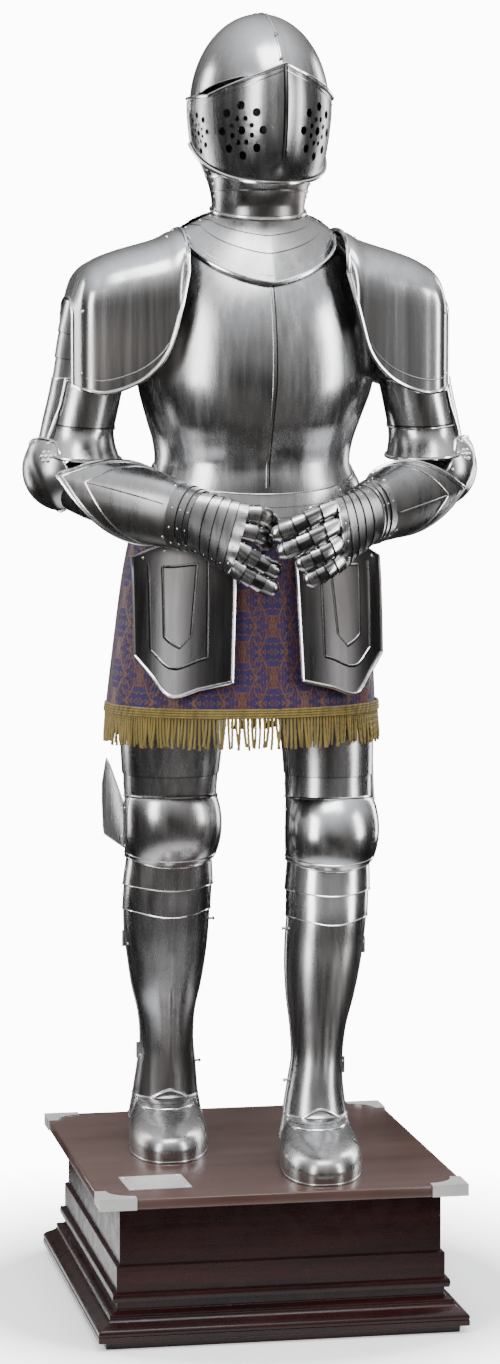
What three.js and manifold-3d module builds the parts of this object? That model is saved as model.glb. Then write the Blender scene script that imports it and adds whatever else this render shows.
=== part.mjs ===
// A full suit of plate armour standing on a stepped wooden plinth.
// Millimetres, +Z up, the front faces -Y and the wearer's left is +X.
// The origin is the middle of the plinth's underside.
// Every plate is a thin wall: an outer face, the same face moved in by the plate's thickness, and its edges.
import * as THREE from 'three';
import Module from 'manifold-3d';

const PLATE = 1.5;
const SEAM = 0.5;
const LAP = 0.9;
const CLOTH = 2;

const BOARD = { width: 570, depth: 635, under: 215.7, top: 232.7 };
const BRACKET = { side: 57, skin: 1.2, bite: 40 };
const NAMEPLATE = { width: 98, depth: 89, thick: 1.2, x: -185, y: -215, turn: 2 };

const NECK = { x: 26, y: 45, half: 73, front: 72, back: 76, z: 1725, tilt: 12 };
const HEAD = { x: 26, y: 40, pivot: 1890, radius: 146, back: 136, half: 108, turn: 4 };
const ROSETTE = { large: 6.4, small: 3.8, outer: 38, inner: 19.5 };

const FRINGE = { strands: 64, head: 8, long: 46, wide: 8, deep: 3 };

const HALF_STEPS = 10;
const FRONT = Array.from({ length: HALF_STEPS + 1 }, (_, i) => -88 + (176 * i) / HALF_STEPS);
const BACK = FRONT.map((angle) => angle + 180);
const AROUND = [...FRONT, ...BACK];

const LOOKS = {
  steel: { color: 0x9a9b9c, roughness: 0.28, metalness: 1 },
  bright: { color: 0xb9b8b6, roughness: 0.22, metalness: 1 },
  brocade: { color: 0x4a2f4a, roughness: 0.85, metalness: 0 },
  fringe: { color: 0x8a7426, roughness: 0.9, metalness: 0 },
  mahogany: { color: 0x33130e, roughness: 0.35, metalness: 0 },
  board: { color: 0x6b4a40, roughness: 0.4, metalness: 0 },
  silver: { color: 0xb5b3ae, roughness: 0.4, metalness: 1 },
};

const suit = new THREE.Group();
const wasm = await Module();
wasm.setup();

const rad = (degrees) => (degrees * Math.PI) / 180;
const mix = (a, b, t) => a + (b - a) * t;
const steps = (n, from = 0, to = 1) => Array.from({ length: n + 1 }, (_, i) => mix(from, to, i / n));
const blend = (p, q, t) => p.map((value, k) => mix(value, q[k], t));
const along = (p, d, t) => p.map((value, k) => value + d[k] * t);
const unit = (p) => new THREE.Vector3(...p).normalize().toArray();
const cross = (p, q) => new THREE.Vector3(...p).cross(new THREE.Vector3(...q)).toArray();
const bump = (value, middle, width) => Math.max(0, 1 - Math.abs(value - middle) / width);

// A table of sections: the first name is the column that the rows are sorted by.
function table(names, rows) {
  const columns = names.split(' ');
  return rows.map((row) => Object.fromEntries(columns.map((name, k) => [name, row[k]])));
}

// The section at a height, eased between the rows of its table.
function at(rows, value, key = 'z') {
  let k = 0;
  while (k < rows.length - 2 && value > rows[k + 1][key]) {
    k += 1;
  }
  const [p, q] = [rows[k], rows[k + 1]];
  const [before, after] = [rows[Math.max(0, k - 1)], rows[Math.min(rows.length - 1, k + 2)]];
  const span = q[key] - p[key];
  const t = Math.min(1, Math.max(0, (value - p[key]) / span));
  const found = {};
  for (const name of Object.keys(p)) {
    const start = ((q[name] - before[name]) / (q[key] - before[key])) * span;
    const end = ((after[name] - p[name]) / (after[key] - p[key])) * span;
    const turn = t * t * (3 - 2 * t);
    const bend = t * (1 - t);
    found[name] = mix(p[name], q[name], turn) + bend * ((1 - t) * start - t * end);
  }
  found[key] = value;
  return found;
}

// A point on a section: 0 degrees is its front, 90 the wearer's left, 180 its back.
function around(row, angle, out = 0) {
  const side = Math.sin(rad(angle));
  const ahead = Math.cos(rad(angle));
  const depth = (ahead > 0 ? row.front : row.back) + out;
  const power = 2 / (row.power ?? 2);
  const x = (row.half + out) * Math.sign(side) * Math.abs(side) ** power;
  const y = depth * Math.sign(ahead) * Math.abs(ahead) ** power;
  return [row.x + x, row.y - y, row.z];
}

// A closed body from points and quads: equal points are joined and the faces turned to point out.
function body(points, quads) {
  const index = new Map();
  const kept = [];
  const name = points.map((p) => {
    const key = p.map((value) => Math.round(value * 200)).join(' ');
    if (!index.has(key)) {
      index.set(key, kept.length);
      kept.push(p);
    }
    return index.get(key);
  });
  const faces = [];
  for (const quad of quads) {
    const [a, b, c, d] = quad.map((k) => name[k]);
    for (const face of [[a, b, c], [a, c, d]]) {
      if (new Set(face).size === 3) {
        faces.push(face);
      }
    }
  }
  let volume = 0;
  for (const [a, b, c] of faces) {
    const [p, q, r] = [kept[a], kept[b], kept[c]].map((v) => new THREE.Vector3(...v));
    volume += p.dot(q.cross(r));
  }
  const turned = volume < 0 ? faces.map(([a, b, c]) => [a, c, b]) : faces;
  const geometry = new THREE.BufferGeometry();
  geometry.setAttribute('position', new THREE.Float32BufferAttribute(kept.flat(), 3));
  geometry.setIndex(turned.flat());
  return geometry;
}

// A plate: point(u, v, out) gives its outer face, and the inner face lies one thickness further in.
function plate(point, us, vs, { ring = false, thick = PLATE } = {}) {
  const [n, m] = [us.length, vs.length];
  const points = [];
  for (const out of [0, -thick]) {
    for (const v of vs) {
      for (const u of us) {
        points.push(point(u, v, out));
      }
    }
  }
  const id = (layer, i, j) => layer * n * m + j * n + (i % n);
  const quads = [];
  const last = ring ? n : n - 1;
  for (let i = 0; i < last; i += 1) {
    for (let j = 0; j < m - 1; j += 1) {
      quads.push([id(0, i, j), id(0, i + 1, j), id(0, i + 1, j + 1), id(0, i, j + 1)]);
      quads.push([id(1, i, j), id(1, i, j + 1), id(1, i + 1, j + 1), id(1, i + 1, j)]);
    }
    quads.push([id(0, i, 0), id(1, i, 0), id(1, i + 1, 0), id(0, i + 1, 0)]);
    quads.push([id(0, i, m - 1), id(0, i + 1, m - 1), id(1, i + 1, m - 1), id(1, i, m - 1)]);
  }
  if (!ring) {
    for (let j = 0; j < m - 1; j += 1) {
      quads.push([id(0, 0, j), id(0, 0, j + 1), id(1, 0, j + 1), id(1, 0, j)]);
      quads.push([id(0, n - 1, j), id(1, n - 1, j), id(1, n - 1, j + 1), id(0, n - 1, j + 1)]);
    }
  }
  return body(points, quads);
}

function solid(geometry) {
  return new wasm.Manifold(new wasm.Mesh({
    numProp: 3,
    vertProperties: new Float32Array(geometry.getAttribute('position').array),
    triVerts: new Uint32Array(geometry.index.array),
  }));
}

function fromSolid(made) {
  const mesh = made.getMesh();
  const points = [];
  for (let k = 0; k < mesh.vertProperties.length; k += mesh.numProp) {
    points.push([...mesh.vertProperties.slice(k, k + 3)]);
  }
  const quads = [];
  for (let k = 0; k < mesh.triVerts.length; k += 3) {
    const [a, b, c] = mesh.triVerts.slice(k, k + 3);
    quads.push([a, b, c, c]);
  }
  return body(points, quads);
}

// The triangles that fill an outline, all turned the outline's own way.
function fill(flat) {
  const turn = Math.sign(THREE.ShapeUtils.area(flat));
  return THREE.ShapeUtils.triangulateShape(flat, []).map(([a, b, c]) => {
    const same = Math.sign(THREE.ShapeUtils.area([flat[a], flat[b], flat[c]])) === turn;
    return same ? [a, b, c] : [a, c, b];
  });
}

// A slab between two copies of an outline: place(corner, end) puts each corner at end 0 and end 1.
function slab(outline, place) {
  const n = outline.length;
  const points = [0, 1].flatMap((end) => outline.map((corner) => place(corner, end)));
  const caps = fill(outline.map(([x, y]) => new THREE.Vector2(x, y)));
  const quads = caps.flatMap(([a, b, c]) => [[c, b, a, a], [a + n, b + n, c + n, c + n]]);
  for (let k = 0; k < n; k += 1) {
    const next = (k + 1) % n;
    quads.push([k, next, next + n, k + n]);
  }
  return body(points, quads);
}

function block(outline, low, high) {
  return slab(outline, ([x, y], end) => [x, y, end ? high : low]);
}

function add(name, geometry, look) {
  const mesh = new THREE.Mesh(geometry, new THREE.MeshStandardMaterial(LOOKS[look]));
  mesh.name = name;
  suit.add(mesh);
  return mesh;
}

// The plinth: a moulded box of stained wood, a polished board, four metal corners and a blank plate.
const MOULDING = table('z inset', [
  [0, 8], [12, 8], [12.01, -4], [20, -4], [36, 7], [42, 15], [50, 16], [56, 29], [67, 29],
  [69, 22], [80, 22], [83, 28.5], [121, 28.5], [124, 34], [BOARD.under - 0.3, 34],
]);

function rectangle(inset) {
  const [x, y] = [BOARD.width / 2 - inset, BOARD.depth / 2 - inset];
  return [[-x, -y], [x, -y], [x, y], [-x, y]];
}

function plinth() {
  const points = MOULDING.flatMap(({ z, inset }) => rectangle(inset).map(([x, y]) => [x, y, z]));
  const quads = [[3, 2, 1, 0]];
  for (let j = 0; j < MOULDING.length - 1; j += 1) {
    for (let i = 0; i < 4; i += 1) {
      const next = (i + 1) % 4;
      quads.push([4 * j + i, 4 * j + next, 4 * j + 4 + next, 4 * j + 4 + i]);
    }
  }
  const top = 4 * (MOULDING.length - 1);
  quads.push([top, top + 1, top + 2, top + 3]);
  add('plinth_body', body(points, quads), 'mahogany');
  add('plinth_board', block(rectangle(0), BOARD.under, BOARD.top), 'board');
}

// A corner bracket: a top skin with a hollow curve cut into it, and two skins down the board's edges.
function bracket(name, sideX, sideY) {
  const { side, skin, bite } = BRACKET;
  const [cx, cy] = [BOARD.width / 2 + 0.3, BOARD.depth / 2 + 0.3];
  const [ox, oy] = [cx + skin, cy + skin];
  const [ix, iy] = [ox - side, oy - side];
  const curve = steps(5, 0, 90).map((a) => [ix + bite * Math.cos(rad(a)), iy + bite * Math.sin(rad(a))]);
  const top = [[ox, oy], [ix, oy], ...curve.reverse(), [ox, iy]];
  const place = (outline) => outline.map(([x, y]) => [x * sideX, y * sideY]);
  const low = BOARD.under;
  const high = BOARD.top + 0.3;
  const parts = [
    block(place(top), high, high + skin),
    block(place([[cx, iy], [ox, iy], [ox, oy], [cx, oy]]), low, high + skin / 2),
    block(place([[ix, cy], [ox, cy], [ox, oy], [ix, oy]]), low, high + skin / 2),
  ];
  const joined = parts.map(solid).reduce((a, b) => a.add(b));
  add(name, fromSolid(joined), 'silver');
}

function nameplate() {
  const { width, depth, thick, x, y, turn } = NAMEPLATE;
  const [c, s] = [Math.cos(rad(turn)), Math.sin(rad(turn))];
  const corners = [[-1, -1], [1, -1], [1, 1], [-1, 1]];
  const outline = corners.map(([a, b]) => [(a * width) / 2, (b * depth) / 2]);
  const turned = outline.map(([a, b]) => [x + a * c - b * s, y + a * s + b * c]);
  add('nameplate', block(turned, BOARD.top + 0.3, BOARD.top + 0.3 + thick), 'silver');
}

// The trunk: one table of sections for breastplate, backplate, fauld and the cloth skirt below.
const TRUNK = table('z x half front back power', [
  [900, 2, 222, 162, 152, 2.1], [940, 2, 219, 160, 150, 2.1], [1040, 5, 211, 155, 141, 2.1],
  [1144, 8, 201, 149, 131, 2.1], [1200, 11, 194, 145, 124, 2.1], [1240, 14, 187, 141, 117, 2.1],
  [1295, 17, 171, 133, 102, 2.15], [1330, 18, 157, 128, 95, 2.2], [1365, 19, 160, 138, 97, 2.2],
  [1400, 20, 171, 150, 105, 2.2], [1460, 23, 188, 158, 118, 2.25], [1520, 24, 185, 153, 126, 2.25],
  [1570, 24, 177, 141, 128, 2.25], [1618, 24, 168, 122, 122, 2.2], [1660, 24, 150, 98, 105, 2.2],
  [1690, 23, 132, 74, 84, 2.1], [1712, 22, 110, 52, 66, 2.1],
]).map((row) => ({ ...row, y: 60 }));

const RIDGE = 5;

function trunk(angle, z, out) {
  const keel = z > 1285 && z < 1625 ? RIDGE * bump(angle, 0, 12) : 0;
  return around(at(TRUNK, z), angle, out + keel);
}

// The seam at the waist, and the lower edge of the collar, by angle.
function waist(angle) {
  const ahead = Math.cos(rad(angle));
  return ahead > 0 ? 1285 + 45 * (1 - ahead) : 1330 + 12 * ahead;
}

function collar(angle) {
  const off = Math.abs(((angle + 180) % 360) - 180);
  if (off < 62) {
    return 1618 + 78 * (off / 62) ** 1.3;
  }
  return off < 112 ? 1696 : 1696 - 46 * ((off - 112) / 68) ** 1.3;
}

// The armholes cut the breastplate and backplate back below the shoulder.
function armhole(angle) {
  const off = Math.abs((((angle + 90) % 180) + 180) % 180 - 90);
  const side = 90 - off;
  return Math.min(collar(angle), 1500 + 196 * Math.min(1, Math.max(0, (side - 6) / 26)) ** 0.7);
}

function cuirass() {
  const rise = (low, high, v) => mix(low, high, v);
  const torso = (angle, v, out) => trunk(angle, rise(waist(angle), armhole(angle), v), out);
  add('breastplate', plate(torso, FRONT, steps(8)), 'steel');
  add('backplate', plate(torso, BACK, steps(6)), 'steel');
  const fauld = (angle, v, out) => {
    const low = waist(angle) - SEAM - 52 + (Math.cos(rad(angle)) > 0 ? 0 : 10);
    return trunk(angle, mix(low, waist(angle) - SEAM, v), out + PLATE + LAP);
  };
  add('fauld_front', plate(fauld, FRONT, steps(3)), 'bright');
  add('fauld_back', plate(fauld, BACK, steps(3)), 'bright');
  const neck = (angle, out) => {
    const z = NECK.z - NECK.tilt * Math.cos(rad(angle));
    return around({ ...NECK, z }, angle, out);
  };
  const cape = (angle, v, out) => {
    const foot = trunk(angle, collar(angle) + SEAM, out);
    const head = neck(angle, out);
    const p = blend(foot, head, v);
    p[2] += 10 * Math.sin(Math.PI * v) * (Math.cos(rad(angle)) > 0 ? 0.2 : 0.6);
    return p;
  };
  add('gorget_front', plate(cape, FRONT, steps(3)), 'steel');
  add('gorget_back', plate(cape, BACK, steps(3)), 'steel');
}

// The tassets hang from the fauld's lower edge, one over each thigh.
const TASSET = table('z half front', [
  [940, 242, 174], [1030, 238, 168], [1144, 229, 158], [1206, 214, 149], [1240, 196, 143.9],
]).map((row) => ({ ...row, x: 12, y: 60, back: 100 }));
const TASSET_EDGE = table('u low high', [
  [0, 995, 1233.4], [0.33, 984, 1230], [0.66, 972, 1210], [0.84, 1003, 1198], [1, 1032, 1185],
]);

function tasset(name, side) {
  const point = (u, v, out) => {
    const edge = at(TASSET_EDGE, u, 'u');
    const z = mix(edge.low, edge.high, v);
    const row = at(TASSET, z);
    const off = mix(mix(56, 46, v), 198, u);
    const reach = Math.sqrt(1 - (off / row.half) ** 2);
    return [row.x + side * (off + out * 0.4), row.y - (row.front + out) * reach - out * 0.3, z];
  };
  add(name, plate(point, steps(6), steps(5)), 'steel');
}

// The skirt: brocade cloth from the waist to mid thigh, with a fringe hung from a braid.
function skirt() {
  const cloth = (angle, v, out) => trunk(angle, mix(944, waist(angle) - SEAM, v), out);
  add('skirt', plate(cloth, AROUND, [0, 0.3, 0.6, 0.8, 0.9, 1], { ring: true, thick: CLOTH }), 'brocade');
}

// The fringe: a narrow strip just below the cloth, and square strands that grow from its lower face.
function fringe() {
  const { strands, head, long, wide, deep } = FRINGE;
  const top = 944 - SEAM;
  const points = [];
  const quads = [];
  const hang = (angle, z, out) => trunk(angle, z, out);
  for (let k = 0; k < strands; k += 1) {
    const middle = (360 * (k + 0.5)) / strands;
    const half = (wide / 4) * (360 / (Math.PI * 2 * 190)) * 2;
    const base = points.length;
    const levels = [[top, 1], [top - head, 1], [top - head - long + 6 * Math.sin(k * 2.3), 0.55]];
    for (const [z, share] of levels) {
      points.push(hang(middle - half * share, z, 0), hang(middle + half * share, z, 0));
      points.push(hang(middle + half * share, z, -deep), hang(middle - half * share, z, -deep));
    }
    const next = ((k + 1) % strands) * 12;
    const [a, b] = [base, base + 4];
    quads.push([a + 3, a + 2, a + 1, a], [a, a + 1, b + 1, b], [a + 2, a + 3, b + 3, b + 2]);
    for (let i = 0; i < 4; i += 1) {
      quads.push([b + i, b + ((i + 1) % 4), b + 4 + ((i + 1) % 4), b + 4 + i]);
    }
    quads.push([b + 4, b + 5, b + 6, b + 7]);
    quads.push([a + 1, a + 2, next + 3, next]);
    quads.push([a + 1, next, next + 4, b + 1], [a + 2, b + 2, next + 7, next + 3]);
    quads.push([b + 1, next + 4, next + 7, b + 2]);
  }
  add('skirt_fringe', body(points, quads), 'fringe');
}

// The head: a crown round about the visor's pivots, a bevor below it and a visor over both.
const FACE = table('z half front back', [
  [1712, 73, 72, 76], [1735, 73.5, 74, 78], [1759, 77, 83, 88], [1780, 83, 100, 98], [1800, 91, 118, 107],
  [1828, 100, 134, 121], [1861, 106.5, 144, 133], [1890, 108, 146, 136],
]);
const VISOR = table('z half front', [
  [1765, 92, 124], [1794, 99, 141], [1828, 106, 152], [1861, 110.5, 158], [1890, 112.3, 160],
  [1920, 110, 159], [1950, 103, 155],
]);

// A point in the head's own frame, turned a little toward the wearer's left; the neck rim stays put.
function turnHead([x, y, z]) {
  const turn = rad(HEAD.turn) * Math.min(1, Math.max(0, (z - 1740) / 40));
  const [dx, dy] = [x - HEAD.x, y - HEAD.y];
  return [HEAD.x + dx * Math.cos(turn) - dy * Math.sin(turn), HEAD.y + dx * Math.sin(turn) + dy * Math.cos(turn), z];
}

function crown(angle, lift, out) {
  const { x, pivot, radius, half, back } = HEAD;
  if (lift < 0) {
    const z = pivot + lift;
    const share = Math.min(1, Math.max(0, (z - 1735) / 25));
    return turnHead(around({ ...at(FACE, z), x, y: mix(NECK.y, HEAD.y, share) }, angle, out));
  }
  const k = Math.cos(rad(lift));
  const row = { x, y: HEAD.y, half: (half + out) * k, front: (radius + out) * k, back: (back + out) * k };
  return turnHead(around({ ...row, z: pivot + (radius + out) * Math.sin(rad(lift)) }, angle));
}

function rim(angle) {
  return NECK.z - NECK.tilt * Math.cos(rad(angle)) + SEAM - HEAD.pivot;
}

function brow(angle) {
  return mix(3, 18, Math.max(0, Math.cos(rad(angle))) ** 0.8);
}

function skull(angle, v, out) {
  const ahead = Math.cos(rad(angle)) > 0;
  if (ahead) {
    return crown(angle, mix(brow(angle), 90, v), out);
  }
  const low = rim(angle);
  return v < 0.4 ? crown(angle, low * (1 - v / 0.4), out) : crown(angle, 90 * ((v - 0.4) / 0.6), out);
}

function visorSkin(angle, z, out) {
  const row = at(VISOR, z);
  const keel = 6 * bump(angle, 0, 12) * Math.min(1, Math.max(0, (z - 1780) / 30));
  return turnHead(around({ ...row, x: HEAD.x, y: HEAD.y, back: 160, power: 1.9 }, angle, out + keel));
}

function visorLow(angle) {
  return 1767 + 66 * (Math.abs(angle) / 98) ** 2.6;
}

function visorHigh(angle) {
  return 1903 + 45 * Math.max(0, 1 - Math.abs(angle) / 62);
}

// One round hole's cutter: a prism standing across the wall.
function punch(angle, z, radius, sides) {
  const [outer, inner] = [visorSkin(angle, z, 8), visorSkin(angle, z, -10)];
  const axis = unit(outer.map((value, k) => value - inner[k]));
  const u = unit(cross(axis, [0, 0, 1]));
  const w = cross(axis, u);
  const points = [];
  for (const end of [inner, outer]) {
    for (let k = 0; k < sides; k += 1) {
      const a = (2 * Math.PI * k) / sides;
      points.push(along(along(end, u, radius * Math.cos(a)), w, radius * Math.sin(a)));
    }
  }
  const quads = [];
  for (let k = 1; k < sides - 1; k += 1) {
    quads.push([0, k + 1, k, k], [sides, sides + k, sides + k + 1, sides + k + 1]);
  }
  for (let k = 0; k < sides; k += 1) {
    const next = (k + 1) % sides;
    quads.push([k, next, next + sides, k + sides]);
  }
  return solid(body(points, quads));
}

function helmet() {
  add('helmet_skull', plate(skull, AROUND, [0, 0.2, 0.4, 0.55, 0.7, 0.85, 1], { ring: true }), 'bright');
  const bevor = (angle, v, out) => {
    const high = mix(-92, -14, (Math.abs(angle) / 86) ** 2);
    return crown(angle, mix(rim(angle), high, v), out);
  };
  add('helmet_bevor', plate(bevor, steps(12, -86, 86), steps(5)), 'steel');
  const skin = (angle, v, out) => visorSkin(angle, mix(visorLow(angle), visorHigh(angle), v), out);
  let made = solid(plate(skin, steps(12, -98, 98), steps(5)));
  for (const middle of [-77, -35, 35, 77]) {
    const wide = 180 / (Math.PI * (Math.abs(middle) > 50 ? 150 : 132));
    const far = Math.abs(middle) > 50 ? 0.72 : 1;
    const sides = far < 1 ? 5 : 6;
    made = made.subtract(punch(middle, 1847, 6 * far, sides));
    for (let k = 0; k < 8; k += 1) {
      const [a, b] = [rad(45 * k), rad(45 * k + 22.5)];
      const { large, small, outer, inner } = ROSETTE;
      made = made.subtract(punch(middle + wide * far * outer * Math.sin(a), 1847 + far * outer * Math.cos(a), large * far, sides));
      made = made.subtract(punch(middle + wide * far * inner * Math.sin(b), 1847 + far * inner * Math.cos(b), small, 4));
    }
  }
  const studs = [-1, 1].map((side) => {
    const centre = visorSkin(90 * side, HEAD.pivot, 0);
    made = made.subtract(punch(90 * side, HEAD.pivot, 4.6, 8));
    return centre;
  });
  add('helmet_visor', fromSolid(made), 'steel');
  for (const [k, side] of [-1, 1].entries()) {
    const profile = [[0, -3.8], [4, -3.8], [4, 0.6], [11, 0.6], [11, 2], [7, 4], [0, 4.6]];
    const stud = new THREE.LatheGeometry(profile.map(([r, h]) => new THREE.Vector2(r, h)), 8);
    stud.rotateZ(-Math.PI / 2 * side);
    stud.rotateZ(rad(HEAD.turn));
    stud.translate(...studs[k]);
    stud.deleteAttribute('normal');
    stud.deleteAttribute('uv');
    add(side < 0 ? 'visor_pivot_right' : 'visor_pivot_left', clean(stud), 'silver');
  }
}

function clean(geometry) {
  const p = geometry.getAttribute('position');
  const points = Array.from({ length: p.count }, (_, k) => [p.getX(k), p.getY(k), p.getZ(k)]);
  const quads = [];
  for (let k = 0; k < geometry.index.count; k += 3) {
    const [a, b, c] = [0, 1, 2].map((i) => geometry.index.getX(k + i));
    quads.push([a, b, c, c]);
  }
  return body(points, quads);
}

// Arms. Sides are measured out from the trunk's middle line, so one table serves both arms.
const MIDDLE = 20;
const PAULDRON = table('off top spring front back lowFront lowBack', [
  [126.7, 1699, 1640, -60, 160, 1630, 1630], [140, 1696, 1600, -76, 172, 1575, 1560],
  [158, 1686, 1590, -77, 178, 1512, 1510], [186, 1677, 1585, -75, 178, 1474, 1478],
  [220, 1667, 1580, -70, 174, 1453, 1460], [258, 1652, 1575, -64, 166, 1443, 1450],
  [286, 1630, 1570, -52, 152, 1448, 1450], [300, 1592, 1560, -18, 114, 1454, 1456],
]);

function pauldron(name, side) {
  const point = (u, v, out) => {
    const row = at(PAULDRON, v, 'off');
    const reach = row.off + (v > 280 ? out * 0.6 : 0);
    const middleLine = mix(22.9, MIDDLE, Math.min(1, (row.off - 127) / 90));
    const x = middleLine + side * reach;
    if (u < 0.3) {
      return [x, row.front - out, mix(row.lowFront, row.spring, u / 0.3)];
    }
    if (u > 0.7) {
      return [x, row.back + out, mix(row.lowBack, row.spring, (1 - u) / 0.3)];
    }
    const a = rad(mix(0, 180, (u - 0.3) / 0.4));
    const middle = (row.front + row.back) / 2;
    const deep = (row.back - row.front) / 2 + out;
    const rise = row.top - row.spring + out;
    return [x, middle - deep * Math.sign(Math.cos(a)) * Math.abs(Math.cos(a)) ** 0.8, row.spring + rise * Math.sin(a) ** 0.8];
  };
  const us = [0, 0.15, 0.3, 0.36, 0.43, 0.5, 0.57, 0.64, 0.7, 0.85, 1];
  add(name, plate(point, us, PAULDRON.map((row) => row.off)), 'steel');
}

// The upper arm leans out and down from the shoulder to the elbow.
const UPPER = table('z off y r deep', [
  [1340, 290, 66, 57, 57], [1400, 277, 64, 57, 57], [1463, 263, 62, 57, 57], [1530, 250, 60, 62, 60],
  [1590, 237, 60, 64.3, 62],
]);

function upperArm(side, angle, z, out) {
  const row = at(UPPER, z);
  const section = { x: 0, y: row.y, z, half: row.r, front: row.deep, back: row.deep };
  const [x, y] = around(section, angle, out);
  return [MIDDLE + side * (row.off + x), y, z];
}

const ARM_ANGLES = steps(12, 0, 330);

// The elbow's bowl, and the tube's lower rim that is spread to meet it from inside.
const ELBOW = { centre: [303, 68, 1321], radius: 66, open: 62.6, aim: unit([0.87, 0.16, -0.4]) };

function spread(p, side, out) {
  const from = [(p[0] - MIDDLE) * side, p[1], p[2]].map((value, k) => value - ELBOW.centre[k]);
  const toward = unit(from);
  const cosine = toward.reduce((sum, value, k) => sum + value * ELBOW.aim[k], 0);
  if (cosine < Math.cos(rad(ELBOW.open + 4))) {
    return p;
  }
  const set = along(ELBOW.centre, toward, ELBOW.radius - PLATE - 1.6 + out);
  return [MIDDLE + side * set[0], set[1], set[2]];
}

function sleeve(side, label) {
  const lames = (angle, v, out) => {
    const low = 1463 + SEAM;
    const high = 1589.4 - 26 * Math.abs(Math.cos(rad(angle))) ** 2;
    const fall = (v * 3) % 1;
    const lift = v >= 1 ? 0 : 1.6 * (1 - fall);
    return upperArm(side, angle, mix(low, high, Math.min(1, v)), out + (v < 0.01 ? 0 : lift));
  };
  const rows = [0, 0.3, 0.34, 0.63, 0.67, 1];
  add(`upper_arm_lames_${label}`, plate(lames, steps(8, 22, 158), rows), 'steel');
  const tube = (angle, v, out) => {
    const inner = Math.max(0, Math.cos(rad(angle + 30)));
    const low = 1352 - 16 * inner ** 0.7;
    const flare = v < 0.3 ? 24 * inner * (1 - v / 0.3) : 0;
    const p = upperArm(side, angle, mix(low, 1463, v), out + flare);
    return v < 0.01 ? spread(p, side, out) : p;
  };
  add(`rerebrace_${label}`, plate(tube, steps(11, 0, 330), [0, 0.15, 0.3, 0.65, 1], { ring: true }), 'bright');
}

// The couter: a bowl on the outside of the bent elbow.
function couter(name, side) {
  const { aim, centre } = ELBOW;
  const u = unit(cross(aim, [0, 0, 1]));
  const w = cross(aim, u);
  const point = (turn, v, out) => {
    const open = rad(mix(ELBOW.open, 0, v));
    const radius = ELBOW.radius + out;
    let p = along(centre, aim, radius * Math.cos(open));
    p = along(p, u, radius * Math.sin(open) * Math.cos(rad(turn)));
    p = along(p, w, radius * Math.sin(open) * Math.sin(rad(turn)));
    return [MIDDLE + side * p[0], p[1], p[2]];
  };
  add(name, plate(point, steps(11, 0, 330), [0, 0.3, 0.65, 1], { ring: true }), 'steel');
}

// Each forearm runs from the elbow to the wrist in front of the belly.
const WRISTS = {
  right: { side: -1, wrist: [-97, -127, 1246], knuckle: [-42, -150, 1220], lean: [0.28, 0, 0.96] },
  left: { side: 1, wrist: [162, -127, 1254], knuckle: [115, -165, 1228], lean: [-0.14, 0, 0.99] },
};
const FOREARM = 262;
const FOREARM_ROOT = { right: 301.4, left: 300 };
const CUFF = table('t up deep', [
  [20, 60, 62], [70, 61, 58], [120, 61, 52], [170, 58, 45], [215, 53, 38], [262, 47, 33],
]);
const CUFF_TIP = { right: 20, left: -6 };
const VAMBRACE = table('t up deep', [
  [12, 38, 46.5], [60, 45, 47], [130, 47, 42], [190, 46, 38], [235, 0, 0],
]);

function arm(label) {
  const { side, wrist } = WRISTS[label];
  const elbow = [MIDDLE + side * FOREARM_ROOT[label], 62, 1300];
  const length = Math.hypot(...wrist.map((value, k) => value - elbow[k]));
  const ahead = unit(wrist.map((value, k) => value - elbow[k]));
  const outward = unit(cross([0, 0, 1], ahead)).map((value) => value * (side < 0 ? -1 : 1));
  const facing = outward[1] < 0 ? outward : outward.map((value) => -value);
  const up = unit(cross(ahead, facing)).map((value, _, all) => value * Math.sign(all[2]));
  const section = (t, rise, deep, angle) => {
    const centre = along(elbow, ahead, (t / FOREARM) * length);
    return along(along(centre, facing, deep * Math.cos(rad(angle))), up, rise * Math.sin(rad(angle)));
  };
  return { side, section, ahead, facing, up };
}

function forearm(label) {
  const { section } = arm(label);
  const cuffStart = (angle) => {
    const off = Math.abs(((angle - CUFF_TIP[label] + 540) % 360) - 180);
    return mix(178, 26, Math.max(0, 1 - off / 125) ** 1.1);
  };
  const cuff = (angle, v, out) => {
    const t = mix(FOREARM, cuffStart(angle), v);
    const row = at(CUFF, t, 't');
    return section(t, row.up + out, row.deep + out, angle);
  };
  const angles = steps(11, 0, 330);
  add(`gauntlet_cuff_${label}`, plate(cuff, angles, [0, 0.18, 0.45, 0.72, 1], { ring: true }), 'steel');
  const inside = (angle, t, out) => {
    const fit = at(CUFF, 235, 't');
    const rows = VAMBRACE.map((row) => (row.up ? row : { t: 235, up: fit.up - 2.2, deep: fit.deep - 2.2 }));
    const row = at(rows, t, 't');
    return section(t, row.up + out, row.deep + out, angle);
  };
  add(`vambrace_${label}`, plate(inside, angles, [235, 190, 110, 50, 12], { ring: true }), 'steel');
}

// The back of the hand: a gutter from the wrist to the knuckles, open at the palm.
function hand(label) {
  const { section } = arm(label);
  const { knuckle, lean } = WRISTS[label];
  const row = CUFF[CUFF.length - 1];
  const point = (angle, v, out) => {
    const start = section(FOREARM + SEAM, row.up + out, row.deep + out, angle);
    const end = along(along(knuckle, [0, -1, 0], (17 + out) * Math.cos(rad(angle))), lean, (54 + out) * Math.sin(rad(angle)));
    return blend(start, end, v);
  };
  add(`gauntlet_hand_${label}`, plate(point, steps(8, -96, 96), steps(3)), 'steel');
}

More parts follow.
